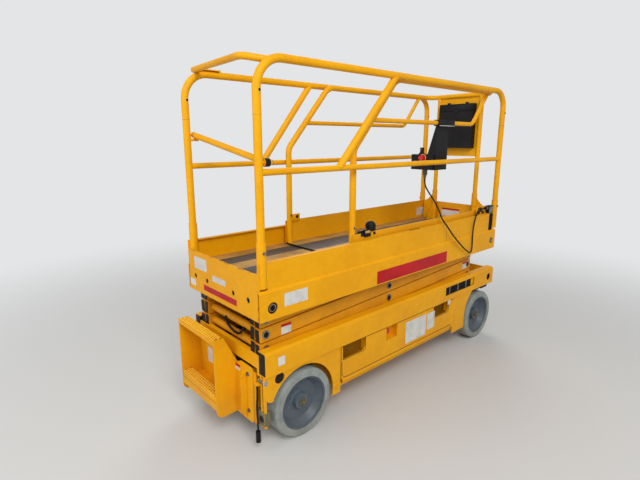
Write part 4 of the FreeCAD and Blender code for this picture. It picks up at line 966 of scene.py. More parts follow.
@dataclass
class Wheels:
    """Tyres, rims and their hub nuts."""

    outer_y: float = TYRE.high.y
    axle_z: float = TYRE.middle.z
    rear_x: float = pivot("wheel_spin_rear_near").x
    front_x: float = pivot("wheel_spin_front_near").x
    boss_depth: float = 0.016
    washer_radius: float = 0.024
    washer_top: float = 0.0045
    nut_radius: float = 0.017
    nut_top: float = 0.012
    pin_radius: float = 0.009
    pin_top: float = 0.0155

    def build(self, kit: Kit) -> None:
        """Dresses all four wheels and adds their nuts."""
        for end, x in (("rear", self.rear_x), ("front", self.front_x)):
            for side in Side:
                name = f"{end}_{side.word}"
                kit.shop.dress("tyre_" + name, self.tyre(name, x))
                kit.shop.dress("rim_" + name, RIM)
                self.hub_nut(kit, name, x, side)

    def tyre(self, name: str, x: float) -> TyreFinish:
        """The finish of one tyre, with its moulding marks round its own axle."""
        return TyreFinish("tyre_" + name, "grey_tyre", srgb(152, 157, 152), srgb(130, 135, 131),
                          0.75, specular=0.3, mottle_scale=12.0, dust=0.25, dust_top=0.25,
                          scuffs=0.4, scuff_colour=srgb(84, 84, 80), grain_scale=150.0,
                          relief=0.0012, axle=(x, 0.0, self.axle_z))

    def hub_nut(self, kit: Kit, name: str, x: float, side: Side) -> None:
        """A slotted nut and pin end on the hub's boss."""
        base = (x, side.at(self.outer_y - self.boss_depth), self.axle_z)
        washer, nut, pin = self.washer_radius, self.nut_radius, self.pin_radius
        low, middle, high = self.washer_top, self.nut_top, self.pin_top
        shape = bmesh.new()
        for outline, steps in (
                ([(washer, 0.0), (washer, 0.003), (washer - 0.004, 0.004), (washer - 0.004, low)],
                 24),
                ([(nut, low), (nut, middle - 0.002), (nut - 0.002, middle), (0.0, middle)], 6),
                ([(pin, middle), (pin, high - 0.001), (pin - 0.0015, high), (0.0, high)], 16)):
            add_turned(shape, outline, base, side.out, steps)
        kit.shop.piece("hub_nut_" + name, shape, BRASS, "wheel_" + name, TURNED_DEGREES)


@dataclass
class Beams:
    """The chassis's beams with their windows backed by painted shade, dark blocks in their open
    ends, flaps and wheel covers.
    """

    outer_y: float = CHASSIS.high.y
    rear_x: float = CHASSIS.low.x
    front_x: float = CHASSIS.high.x
    bottom_z: float = SIDE_PLATES.high.z
    top_z: float = CHASSIS.high.z
    web: float = 0.006
    window_x: Flat = (0.545, 0.975)
    window_z: Flat = (0.505, 0.573)
    pipes: int = 6
    pipe_radius: float = 0.0035
    pipe_depth: float = 0.0075
    pipe_wave: float = 0.003
    pipe_shape: tuple[Flat, ...] = ((0.0, 0.0), (0.09, 1.0), (0.20, -1.0), (0.29, 0.5),
                                    (0.376, 0.0))
    clip_places: tuple[float, ...] = (0.05, 0.17, 0.29)
    clip_width: float = 0.012
    pocket_width: float = 0.042
    end_block_y: Flat = (0.327, 0.383)
    flap: tuple[Point, Point] = ((1.108, 0.328, 0.437), (1.205, 0.386, 0.458))
    cover: tuple[Point, Point] = ((-1.030, 0.245, 0.440), (-0.740, 0.368, 0.4515))

    def window(self, kit: Kit, side: Side) -> None:
        """Black pipes clipped inside a beam's window, before a dark back of painted shade."""
        start = self.window_x[0] + 0.004
        low, high = self.window_z
        y = side.at(self.outer_y - self.pipe_depth)
        first = low + 2 * self.pipe_radius
        step = (high - low - 4 * self.pipe_radius) / (self.pipes - 1)
        lines = []
        for row in range(self.pipes):
            wave = self.pipe_wave * math.sin(row * 2.1)
            lines.append([(start + along, y, first + row * step + wave * share)
                          for along, share in self.pipe_shape])
        hoses(kit, "beam_pipes_" + side.word, lines, self.pipe_radius, RUBBER, "chassis")
        blocks(kit, "beam_clips_" + side.word,
               [((start + place_at, y - 0.0045, low + 0.001),
                 (start + place_at + self.clip_width, y + 0.0045, high - 0.001))
                for place_at in self.clip_places], STEEL, "chassis")
        self.window_back(kit, side)

    def window_back(self, kit: Kit, side: Side) -> None:
        """The dark back of a window, painted shade inside the beam, and the painted pocket at its
        front end.
        """
        deep, shallow = side.at(self.outer_y - 0.014), side.at(self.outer_y - self.web - 0.006)
        low, high = self.window_z[0] - 0.012, self.window_z[1] + 0.012
        split = self.window_x[1] - self.pocket_width
        # The dark back is painted shade inside the beam; the pocket is the beam's own yellow paint.
        for name, start, end, finish in (
                ("back", self.window_x[0] - 0.014, split, DARK),
                ("pocket", split, self.window_x[1] + 0.018, YELLOW)):
            blocks(kit, f"window_{name}_{side.word}", [((start, deep, low), (end, shallow, high))],
                   finish, "chassis")

    def ends(self, kit: Kit) -> None:
        """Dark blocks in the beams' open ends, dark flaps by the front wheels that are partly
        painted shade in the arches, covers over the rear ones.
        """
        low, high = self.bottom_z + self.web, self.top_z - self.web
        # Dark blocks that fill the beams' open ends.
        caps = []
        for x in (self.rear_x + 0.0045, self.front_x - 0.0045):
            caps += both_sides((x - 0.005, self.end_block_y[0], low), (x + 0.005, self.end_block_y[1], high))
        blocks(kit, "beam_end_dark_blocks", caps, BLACK_PLASTIC, "chassis", 0.002)
        # Dark rubber flaps under the beams above the front wheels, partly painted shade in the
        # wheel arches.
        blocks(kit, "wheel_flaps_and_arch_shade", both_sides(*self.flap), RUBBER, "chassis", 0.003)
        blocks(kit, "wheel_covers", both_sides(*self.cover), BLACK_STEEL, "chassis", 0.002)


@dataclass
class Door:
    """The outer face of a swing-out tray: painted shade along its top and bottom gaps, its lip, and
    its notches with their painted shade.
    """

    face_y: float = 0.378
    rear_x: float = TRAY.low.x
    front_x: float = 0.665
    low_z: float = TRAY.low.z
    high_z: float = TRAY.high.z
    notch_width: float = 0.205
    notch_depth: float = 0.095
    notch_inset: Flat = (0.012, 0.050)
    notch_turn: float = 0.04
    recess_x: Flat = (-0.150, -0.032)
    hem: float = 0.030
    bottom_gap_shade_radius: float = 0.0015
    lip: float = 0.004
    notch_gap_shade_radius: float = 0.0016
    shade_margin: float = 0.0078

    @property
    def notch_starts(self) -> Flat:
        """Where the rear and the front notch begin."""
        return (self.rear_x + self.notch_inset[0],
                self.front_x - self.notch_inset[1] - self.notch_width)

    def lines(self, kit: Kit, side: Side) -> None:
        """Painted shade along the top gap and the lower edge, and in and round the notches."""
        y, body = side.at(self.face_y), f"tray_{side.word}_body"
        first, last = self.notch_starts
        runs = ((self.rear_x, first), (first + self.notch_width, self.recess_x[0]),
                (self.recess_x[1], last), (last + self.notch_width, self.front_x))
        # Thin dark strips just under the door's top edge: painted shade of the gap under the beam.
        blocks(kit, "door_seal_" + side.word,
               [((low, y, self.high_z - 0.0065),
                 (high, y + side.at(0.0006), self.high_z - 0.001)) for low, high in runs],
               DARK, body, 0.0002)
        self.lower_edge(kit, side, y, body)
        self.notches(kit, side, y, body)

    def lower_edge(self, kit: Kit, side: Side, y: float, body: str) -> None:
        """The dark line of painted shadow along the door's bottom gap, which turns up at the rear,
        and the painted lip below it.
        """
        sill = self.low_z + self.hem
        route = [(0.003, self.high_z - 0.11), (0.003, sill + 0.035), (0.012, sill + 0.010),
                 (0.035, sill), (0.06, sill)]
        line = [(self.rear_x + along, y, z) for along, z in route]
        line += [(self.front_x - back, y, sill) for back in (0.05, 0.004)]
        # The dark line is painted shadow in the gap above the lower lip.
        hoses(kit, "door_hem_" + side.word, [line], self.bottom_gap_shade_radius, DARK, body)
        blocks(kit, "door_lip_" + side.word,
               [((self.rear_x + 0.006, y - side.at(0.002), self.low_z + 0.001),
                 (self.front_x - 0.006, y + side.at(self.lip), sill - 0.004))], YELLOW, body,
               0.0015)

    def notches(self, kit: Kit, side: Side, y: float, body: str) -> None:
        """Backs and floors inside the notches in darker yellow, as painted shade, and dark lines of
        painted shade in the gaps round the notches.
        """
        back, face = side.at(self.face_y - 0.0475), side.at(self.face_y - 0.009)
        floor = self.high_z - self.notch_depth - self.shade_margin
        low, turn = self.high_z - self.notch_depth - 0.001, self.notch_turn
        shades, edges = [], []
        for start in self.notch_starts:
            end = start + self.notch_width
            x0, x1 = start - self.shade_margin, end + self.shade_margin
            shades.append(((x0, back, floor), (x1, back - side.at(0.002), self.high_z - 0.005)))
            shades.append(((x0, back, floor), (x1, face, floor + 0.0015)))
            edges.append([(start, y, self.high_z - 0.002), (start, y, low + 0.004),
                          (start, y, low), (start + 0.004, y, low), (end - turn, y, low),
                          (end, y, low), (end, y, low + turn), (end, y, self.high_z - 0.002)])
        # The darker yellow blocks and the dark lines are painted shade inside and round each notch.
        blocks(kit, "notch_shades_" + side.word, shades, SHADE, body, 0.0003)
        hoses(kit, "notch_edges_" + side.word, edges, self.notch_gap_shade_radius, DARK, body)


@dataclass
class Corner:
    """The fittings at the rear corners: inlet, guide bar's ear, tow pin, and painted shade in the
    tie-down holes.
    """

    inlet: tuple[Point, Point] = ((-1.1565, -0.3735, 0.1635), (-1.1145, -0.3165, 0.2465))
    inlet_cover_radius: float = 0.019
    hole_x: float = -1.052
    hole_z: float = 0.424
    hole_radius: float = 0.0315
    tow_pin: Point = (-1.144, -0.372, 0.425)
    tow_pin_length: float = 0.052
    ear_x: float = -1.157
    ear_z: Flat = (0.137, 0.443)
    ear_y: Flat = (-0.206, -0.200)

    def build(self, kit: Kit) -> None:
        """Adds the fittings."""
        (x, low_y, low_z), (_, high_y, high_z) = self.inlet
        blocks(kit, "charging_inlet", [self.inlet], INLET, "chassis", 0.004)
        middle = (x, (low_y + high_y) / 2 - 0.001, (low_z + high_z) / 2)
        rounds(kit, "inlet_cover", disc(self.inlet_cover_radius, 0.003), [middle], (-1, 0, 0),
               BLACK_PLASTIC, "chassis")
        # Dark discs just inside the tail holes: painted shade seen through the holes.
        for side in Side:
            rounds(kit, "tail_hole_back_" + side.word, disc(self.hole_radius, 0.002, 0.0005),
                   [(self.hole_x, side.at(0.3705), self.hole_z)], side.out, DARK, "chassis", 32)
        self.ear(kit)
        rounds(kit, "tow_pin", disc(0.0136, self.tow_pin_length, 0.002), [self.tow_pin],
               (0, 1, 0), STEEL, "chassis")
        rounds(kit, "tow_pin_head", disc(0.017, 0.006, 0.002), [self.tow_pin], (0, -1, 0),
               BRIGHT, "chassis")

    def ear(self, kit: Kit) -> None:
        """The rounded fold that stands on the step's flange."""
        low, high = self.ear_z
        upper = [(0.0, 0.0), (0.013, 0.006), (0.025, 0.019), (0.033, 0.039), (0.035, 0.063)]
        lower = [(0.035, 0.098), (0.033, 0.068), (0.025, 0.039), (0.013, 0.013), (0.0, 0.0)]
        outline = [(self.ear_x - reach, high - drop) for reach, drop in upper]
        outline += [(self.ear_x - reach, low + rise) for reach, rise in lower]
        shape = bmesh.new()
        add_plate(shape, outline, self.ear_y, 1)
        kit.shop.piece("flange_ear", shape, YELLOW, "chassis")


@dataclass
class Chassis:
    """Everything that rides low: beams, doors, guards, corner fittings and their plates."""

    beams: Beams = field(default_factory=Beams)
    door: Door = field(default_factory=Door)
    corner: Corner = field(default_factory=Corner)
    flange_x: float = -1.158
    flange_bolt_y: float = -0.225
    flange_bolt_zs: Flat = (0.425, 0.20)
    side_bolts: tuple[Flat, ...] = ((0.70, 0.26), (0.70, 0.30), (-1.10, 0.39), (-0.62, 0.20))
    beam_plate: tuple[Flat, Flat] = ((-1.069, 0.505), (-1.024, 0.556))
    tray_plates: tuple[tuple[str, Flat, Flat], ...] = (
        ("large", (0.066, 0.258), (0.312, 0.422)),
        ("small", (0.325, 0.287), (0.424, 0.418)))
    tag: tuple[Flat, Flat] = ((0.589, 0.42), (0.626, 0.488))
    flange_plates: tuple[tuple[str, Flat, Flat, Finish], ...] = (
        ("flange_plate_red", (-0.147, 0.430), (-0.065, 0.447), RED_PLATE),
        ("flange_plate_white", (-0.147, 0.410), (-0.065, 0.429), WHITE_PLATE),
        ("step_back_plate", (0.170, 0.330), (0.230, 0.430), WHITE_PLATE))

    def build(self, kit: Kit) -> None:
        """Dresses the chassis and adds its hoses, plates and bolts."""
        kit.shop.dress_all(("chassis_frame", "side_plates_near", "side_plates_far", "tray_near",
                            "tray_far", "pothole_guard_near", "pothole_guard_far",
                            "lift_barrel"), YELLOW)
        kit.shop.dress_all(("rear_axle", "hydraulic_unit", "knuckle_near", "knuckle_far",
                            "tie_rod"), BLACK_STEEL)
        kit.shop.dress("battery_pack", BLACK_PLASTIC)
        kit.shop.dress("lift_rod", CHROME)
        kit.shop.dress("ground_stop", RED_PLASTIC)
        for side in Side:
            self.beams.window(kit, side)
            self.door.lines(kit, side)
        self.beams.ends(kit)
        self.corner.build(kit)
        self.plates(kit)
        self.bolts(kit)

    def plates(self, kit: Kit) -> None:
        """Bare plates on the beams, the doors, the step's flange and its back."""
        for side in Side:
            side_label(kit, "beam_plate", side, self.beams.outer_y, *self.beam_plate,
                       WHITE_PLATE, "chassis")
            for name, low, high in self.tray_plates:
                side_label(kit, "tray_plate_" + name, side, self.door.face_y, low, high,
                           WHITE_PLATE, f"tray_{side.word}_body")
            y = side.at(self.beams.outer_y - self.beams.web)
            (x0, z0), (x1, z1) = self.tag
            label(kit, "window_tag_" + side.word, (x0, y, z0), (x1, y - PLATE_DEPTH, z1),
                  WHITE_PLATE, "chassis")
        for name, low, high, finish in self.flange_plates:
            rear_label(kit, name, self.flange_x, low, high, finish, "chassis")

    def bolts(self, kit: Kit) -> None:
        """Bolt heads on the step's flange and the side plates."""
        flange = [(self.flange_x, self.flange_bolt_y, z) for z in self.flange_bolt_zs]
        kit.bolts.make("flange_bolts", flange, (-1, 0, 0), STEEL, "chassis", kit.shop)
        for side in Side:
            spots = [(x, side.at(self.door.face_y), z) for x, z in self.side_bolts]
            kit.bolts.make("side_plate_bolts_" + side.word, spots, side.out, YELLOW, "chassis",
                           kit.shop)


@dataclass
class EntryStep:
    """The step's two treads with their studs."""

    rear_x: float = STEP.low.x
    inner_y: Flat = (-0.090, 0.326)
    top_z: float = STEP.high.z
    low_tread_z: float = 0.23
    low_rise: float = 0.038
    pad_x: Flat = (0.0015, 0.064)
    sheet_x: Flat = (0.0035, 0.0605)
    sheet: float = 0.0012
    first_row: float = 0.0085
    rows: int = 4
    row_pitch: float = 0.0148
    first_stud: float = 0.008
    studs_across: int = 22
    stud_pitch: float = 0.019

    def build(self, kit: Kit) -> None:
        """Dresses the step and adds the low tread's pad, the sheets and their studs."""
        kit.shop.dress_all(("entry_step", "tail_fittings"), YELLOW)
        near_y, far_y = self.inner_y
        pad_top = self.low_tread_z + self.low_rise
        blocks(kit, "low_tread",
               [((self.rear_x + self.pad_x[0], near_y + 0.0005, self.low_tread_z + 0.0005),
                 (self.rear_x + self.pad_x[1], far_y - 0.0005, pad_top))], YELLOW, "chassis",
               0.003)
        for name, z in (("top", self.top_z), ("low", pad_top)):
            top = z + self.sheet
            spots = [(self.rear_x + self.first_row + self.row_pitch * row, y, top)
                     for row in range(self.rows) for y in self.stud_ys(row)]
            kit.studs.make("tread_studs_" + name, spots, (0, 0, 1), STUD, "chassis", kit.shop)
            blocks(kit, "tread_plate_" + name,
                   [((self.rear_x + self.sheet_x[0], near_y + 0.0015, z),
                     (self.rear_x + self.sheet_x[1], far_y - 0.0015, top))], TREAD, "chassis",
                   0.0004)

    def stud_ys(self, row: int) -> list[float]:
        """The y places of one row of studs, every second row set between."""
        odd = row % 2
        start = self.inner_y[0] + self.first_stud + odd * self.stud_pitch / 2
        return [start + self.stud_pitch * i for i in range(self.studs_across - odd)]


@dataclass
class Scissor:
    """The arm stack, with the plugs in its arms' ends and the caps on its pins."""

    stages: int = 4
    pivot_x: float = pivot("scissor_lift").x
    centre_x: float = pivot("stage_1_inner").x
    base_z: float = pivot("scissor_lift").z
    rise: float = round(pivot("stage_2_outer").z - pivot("scissor_lift").z, 4)
    arm_length: float = 2.06
    arm_face_y: float = ARMS.high.y
    arm_middles: Flat = (0.300, 0.255)
    past_pin: float = 0.0425
    plug_size: Point = (0.004, 0.036, 0.072)
    plug_bevel: float = 0.0015
    cap_radii: Flat = (0.016, 0.025)
    cap_depth: float = 0.003
    hose_radius: float = 0.0095
    hose_places: tuple[Flat, ...] = ((-0.915, 0.034), (-0.892, 0.040), (-0.868, 0.030))
    hose_sag: float = 0.008
    rear_hose_radius: float = 0.0075
    rear_hose: tuple[Point, ...] = (
        (-1.118, 0.055, 0.672), (-1.130, 0.030, 0.650), (-1.134, -0.010, 0.630),
        (-1.134, -0.055, 0.618), (-1.134, -0.095, 0.616), (-1.132, -0.130, 0.630),
        (-1.122, -0.150, 0.665))
    plate_ends: tuple[tuple[str, float, float], ...] = (("rear", -0.993, -0.923),
                                                        ("front", 0.885, 0.950))
    plate_bands: tuple[tuple[str, float, float, Finish], ...] = (
        ("red", 0.684, 0.700, RED_PLATE), ("white", 0.640, 0.683, WHITE_PLATE))

    @property
    def slider_x(self) -> float:
        """The x of the arms' rolling ends."""
        return 2 * self.centre_x - self.pivot_x

    def build(self, kit: Kit) -> None:
        """Dresses the arms and adds their plugs, caps, hoses and plates."""
        for stage in range(1, self.stages + 1):
            kit.shop.dress_all((f"outer_arms_{stage}", f"inner_arms_{stage}"), ARM)
            self.plugs(kit, stage)
            self.caps(kit, stage)
            self.hose_row(kit, stage)
        hoses(kit, "rear_hose", [self.rear_hose], self.rear_hose_radius, RUBBER,
              "inner_arms_2_body")
        for side in Side:
            for end, low_x, high_x in self.plate_ends:
                for name, low_z, high_z, finish in self.plate_bands:
                    side_label(kit, f"arm_plate_{end}_{name}", side, self.arm_face_y,
                               (low_x, low_z), (high_x, high_z), finish, "outer_arms_3_body")

    def height(self, level: float) -> float:
        """The height of the pins at a level, counted up from the lowest."""
        return self.base_z + self.rise * level

    def plugs(self, kit: Kit, stage: int) -> None:
        """Black plugs in the ends of one stage's square arms.

        Args:
            kit: the trees and the shop.
            stage: the stage, counted up from 1; the lowest arms' low ends have none.
        """
        fold = math.asin(self.rise / self.arm_length)
        half = Vector(self.plug_size) / 2
        for kind, middle_y, lean in (("outer", self.arm_middles[0], 1),
                                     ("inner", self.arm_middles[1], -1)):
            shape = bmesh.new()
            turn = Matrix.Rotation(-lean * fold, 3, "Y")
            for way, x in ((-1, self.pivot_x), (1, self.slider_x)):
                level = stage - 1 if way == -lean else stage
                if level == 0:
                    continue
                along = Vector((way * math.cos(fold), 0.0, way * lean * math.sin(fold)))
                for side in Side:
                    spot = Vector((x, side.at(middle_y), self.height(level)))
                    spot += along * self.past_pin
                    add_box(shape, spot - half, spot + half, self.plug_bevel, 2, turn)
            kit.shop.piece(f"{kind}_arm_plugs_{stage}", shape, BLACK_PLASTIC,
                           f"{kind}_arms_{stage}_body")

    def caps(self, kit: Kit, stage: int) -> None:
        """Steel caps on the pins that one stage carries, with dark discs of painted shade in their
        hollow middles.
        """
        spots = [(self.centre_x, self.height(stage - 0.5))]
        if stage < self.stages:
            spots.append((self.pivot_x, self.height(stage)))
        if stage > 1:
            spots.append((self.slider_x, self.height(stage - 1)))
        inner, outer = self.cap_radii
        body = f"inner_arms_{stage}_body"
        for side in Side:
            bases = [(x, side.at(self.arm_face_y), z) for x, z in spots]
            rounds(kit, f"pin_caps_{stage}_{side.word}", ring(inner, outer, self.cap_depth),
                   bases, side.out, STEEL, body)
            # The dark discs are painted shade inside the caps' hollows.
            rounds(kit, f"pin_hollows_{stage}_{side.word}",
                   disc(inner - 0.0002, self.cap_depth / 2, 0.0005), bases, side.out, DARK, body)

    def hose_row(self, kit: Kit, stage: int) -> None:
        """Black hoses across the rear of one stage, between its inner arms."""
        base = self.height(stage) - 0.008
        end_y = self.arm_middles[1] - 0.027
        sag = self.hose_sag
        lines = []
        for x, up in self.hose_places:
            z = base + up
            lines.append([(x, -end_y, z), (x, -end_y / 2, z - sag / 2), (x + 0.004, 0.0, z - sag),
                          (x, end_y / 2, z - sag / 2), (x, end_y, z)])
        hoses(kit, f"stack_hoses_{stage}", lines, self.hose_radius, RUBBER,
              f"inner_arms_{stage}_body")


@dataclass
class Deck:
    """Deck, skirts, rails and entry."""

    rear_x: float = SKIRT.low.x
    skirt_y: float = SKIRT.high.y
    upper_y: float = 0.378
    skirt_top: float = SKIRT.high.z
    shaft_x: float = pivot("deck_level").x
    shaft_z: float = pivot("deck_level").z
    front_pin: Flat = (1.200, 0.853)
    band_z: Flat = (0.936, 1.084)
    wear_strip_x: Flat = (1.159, 1.216)
    seam_x: Flat = (0.516, 0.518)
    lip_screw_y: float = 0.359
    lip_screw_xs: tuple[float, ...] = (0.095, 0.125, 0.155, 0.185)
    skirt_plates: tuple[tuple[str, Flat, Flat, Finish], ...] = (
        ("red", (-0.278, 0.787), (0.521, 0.872), RED_PLATE),
        ("white", (-1.02, 0.832), (-0.86, 0.905), WHITE_PLATE))
    panel: float = 0.006
    hole_radius: float = 0.0149
    hole_z: float = SKIRT.low.z + 0.097
    hole_ys: tuple[float, ...] = (0.298, 0.153, -0.136, -0.284)
    panel_plates: tuple[tuple[str, Flat, Flat, Finish], ...] = (
        ("high", (0.152, 0.928), (0.300, 1.002), WHITE_PLATE),
        ("corner", (0.299, 0.808), (0.370, 0.850), WHITE_PLATE),
        ("small", (-0.060, 0.892), (0.088, 0.926), WHITE_PLATE),
        ("red", (-0.170, 0.810), (0.199, 0.845), RED_PLATE))

    def build(self, kit: Kit) -> None:
        """Dresses the deck and adds its plates, bolts and seams."""
        kit.shop.dress("main_deck", FLOOR_PAINT)
        kit.shop.dress("rear_panel", WORN_YELLOW)
        kit.shop.dress_all(("side_skirt_near", "side_skirt_far"), YELLOW)
        kit.shop.dress_all(("outer_rails_near", "outer_rails_far", "entry_bow", "drop_bar"),
                           RAIL)
        kit.shop.dress("cable_socket", BLACK_PLASTIC)
        rails = Rails()
        for side in Side:
            self.pins(kit, side)
            self.trim(kit, side)
            rails.posts(kit, side)
        self.rear(kit)
        rails.drop_bar(kit)
        CableBracket().build(kit)

    def pins(self, kit: Kit, side: Side) -> None:
        """The shaft's end in the skirt's hole, with painted shade round it and in its hollow, and
        the pin near the skirt's front.
        """
        out = side.out
        x, z = self.shaft_x, self.shaft_z
        # A dark ring of painted shade in the skirt's hole, round the shaft's end.
        rounds(kit, "shaft_ring_shade_" + side.word, ring(0.0225, 0.0305, 0.0015),
               [(x, side.at(self.skirt_y - 0.0055), z)], out, DARK, "deck", 32)
        end = (x, side.at(self.skirt_y - 0.0028), z)
        rounds(kit, "shaft_end_" + side.word, ring(0.0155, 0.0215, 0.002), [end], out, STEEL,
               "deck")
        # A dark disc of painted shade in the shaft's hollow end.
        rounds(kit, "shaft_hollow_" + side.word, disc(0.0153, 0.001, 0.0004), [end], out, DARK,
               "deck")
        front = (self.front_pin[0], side.at(self.skirt_y), self.front_pin[1])
        rounds(kit, "front_pin_ring_" + side.word, ring(0.017, 0.024, 0.001), [front], out, DARK,
               "deck")
        rounds(kit, "front_pin_" + side.word, disc(0.0165, 0.003), [front], out, STEEL, "deck")

    def trim(self, kit: Kit, side: Side) -> None:
        """The wear strip, seam, lip screws and bare plates of one skirt."""
        low, high = self.band_z
        for name, (x0, x1), depth, bevel in (
                ("wear_strip_", self.wear_strip_x, 0.0012, 0.0005),
                ("skirt_seam_", self.seam_x, 0.0004, 0.0001)):
            blocks(kit, name + side.word, [((x0, side.at(self.upper_y), low),
                                            (x1, side.at(self.upper_y + depth), high))],
                   DARK, "deck", bevel)
        screws = [(x, side.at(self.lip_screw_y), self.skirt_top) for x in self.lip_screw_xs]
        kit.bolts.make("lip_screws_" + side.word, screws, (0, 0, 1), DARK, "deck", kit.shop,
                       **LIP_SCREW)
        for name, plate_low, plate_high, finish in self.skirt_plates:
            side_label(kit, "skirt_plate_" + name, side, self.skirt_y, plate_low, plate_high,
                       finish, "deck")

    def rear(self, kit: Kit) -> None:
        """Dark discs of painted shade in the rear panel's holes, and its bare plates."""
        back = self.rear_x + self.panel - 0.0002
        rounds(kit, "rear_panel_hole_backs", disc(self.hole_radius, 0.002, 0.0004),
               [(back, y, self.hole_z) for y in self.hole_ys], (-1, 0, 0), DARK, "deck", 24)
        for name, low, high, finish in self.panel_plates:
            rear_label(kit, "panel_plate_" + name, self.rear_x, low, high, finish, "deck")


@dataclass
class Rails:
    """The fixed guard rails' posts and the drop bar's ends."""

    post_y: float = RAILS.middle.y
    socket_radius: float = 0.025
    post_radius: float = 0.0208
    seam_z: float = 1.803
    top_bolt_zs: Flat = (1.912, 1.90)
    socket_bolt_z: float = 1.140
    bar_y: float = -RAILS.middle.y
    bar_z: float = 1.582
    sleeve_x: float = -1.1125
    nut_x: float = -1.0655

    @property
    def post_xs(self) -> Flat:
        """Where the rear and the front post stand."""
        return (RAILS.low.x + self.socket_radius, RAILS.high.x - self.socket_radius)

    def posts(self, kit: Kit, side: Side) -> None:
        """Bolt heads, seams and socket bolts of one side's posts."""
        y = side.at(self.post_y)
        rear, front = self.post_xs
        spots = [(x, y - self.post_radius, z)
                 for x, z in zip((rear + 0.004, front), self.top_bolt_zs)]
        kit.bolts.make("post_bolts_" + side.word, spots, (0, -1, 0), DARK, "deck", kit.shop,
                       **POST_SCREW)
        seams = [(x, y, self.seam_z) for x in (rear, front)]
        kit.rings.make("post_seams_" + side.word, seams, (0, 0, 1), PRIMER_DARK, "deck", kit.shop,
                       **{"Ring Radius": self.post_radius, "Ring Thickness": 0.0008})
        sockets = [(x, y + side.at(self.socket_radius - 0.0005), self.socket_bolt_z)
                   for x in (rear, front)]
        kit.bolts.make("socket_bolts_" + side.word, sockets, side.out, STEEL, "deck", kit.shop,
                       **SOCKET_BOLT)

    def drop_bar(self, kit: Kit) -> None:
        """The sleeve and the nut at the drop bar's pivot."""
        sleeve = [(0.0185, 0.0), (0.0212, 0.002), (0.0212, 0.031), (0.0195, 0.033), (0.0, 0.033)]
        nut = [(0.0135, 0.0), (0.0135, 0.006), (0.012, 0.007), (0.0, 0.007)]
        rounds(kit, "drop_bar_sleeve", sleeve, [(self.sleeve_x, self.bar_y, self.bar_z)],
               (1, 0, 0), BLACK_PLASTIC, "drop_bar_body")
        rounds(kit, "drop_bar_nut", nut, [(self.nut_x, self.bar_y, self.bar_z)], (1, 0, 0),
               STEEL, "drop_bar_body", 6)


@dataclass
class CableBracket:
    """The bracket and the small connectors beside the cable's socket."""

    face_y: float = -0.352
    back_y: float = -0.347
    shelf_y: float = -0.372
    low: Flat = (0.985, 1.086)
    high: Flat = (1.138, 1.152)
    sheet: float = 0.005
    connector_depth: float = 0.0105
    connectors: tuple[tuple[Flat, Flat], ...] = (
        ((1.000, 1.096), (1.028, 1.118)), ((1.036, 1.112), (1.062, 1.132)),
        ((1.072, 1.094), (1.094, 1.112)), ((1.012, 1.130), (1.030, 1.146)))
    collar_xs: Flat = (1.112, 1.128)
    cable_y: float = -0.363
    cable_z: float = 1.134
    lid: tuple[Point, Point] = ((1.148, -0.3805, 1.094), (1.202, -0.378, 1.144))

    def build(self, kit: Kit) -> None:
        """Adds the bracket, connectors, collars and lid."""
        (x0, z0), (x1, z1) = self.low, self.high
        blocks(kit, "socket_bracket", [
            ((x0, self.face_y, z0), (x1, self.back_y, z1)),
            ((x0, self.shelf_y, z0), (x1, self.back_y, z0 + self.sheet))], RAIL, "deck")
        blocks(kit, "connectors",
               [((low[0], self.face_y - self.connector_depth, low[1]),
                 (high[0], self.face_y, high[1])) for low, high in self.connectors],
               BLACK_PLASTIC, "deck", 0.002)
        rounds(kit, "socket_collars", ring(0.0115, 0.0145, 0.008),
               [(x, self.cable_y, self.cable_z) for x in self.collar_xs], (1, 0, 0), STEEL,
               "deck")
        blocks(kit, "socket_lid", [self.lid], STEEL, "deck")


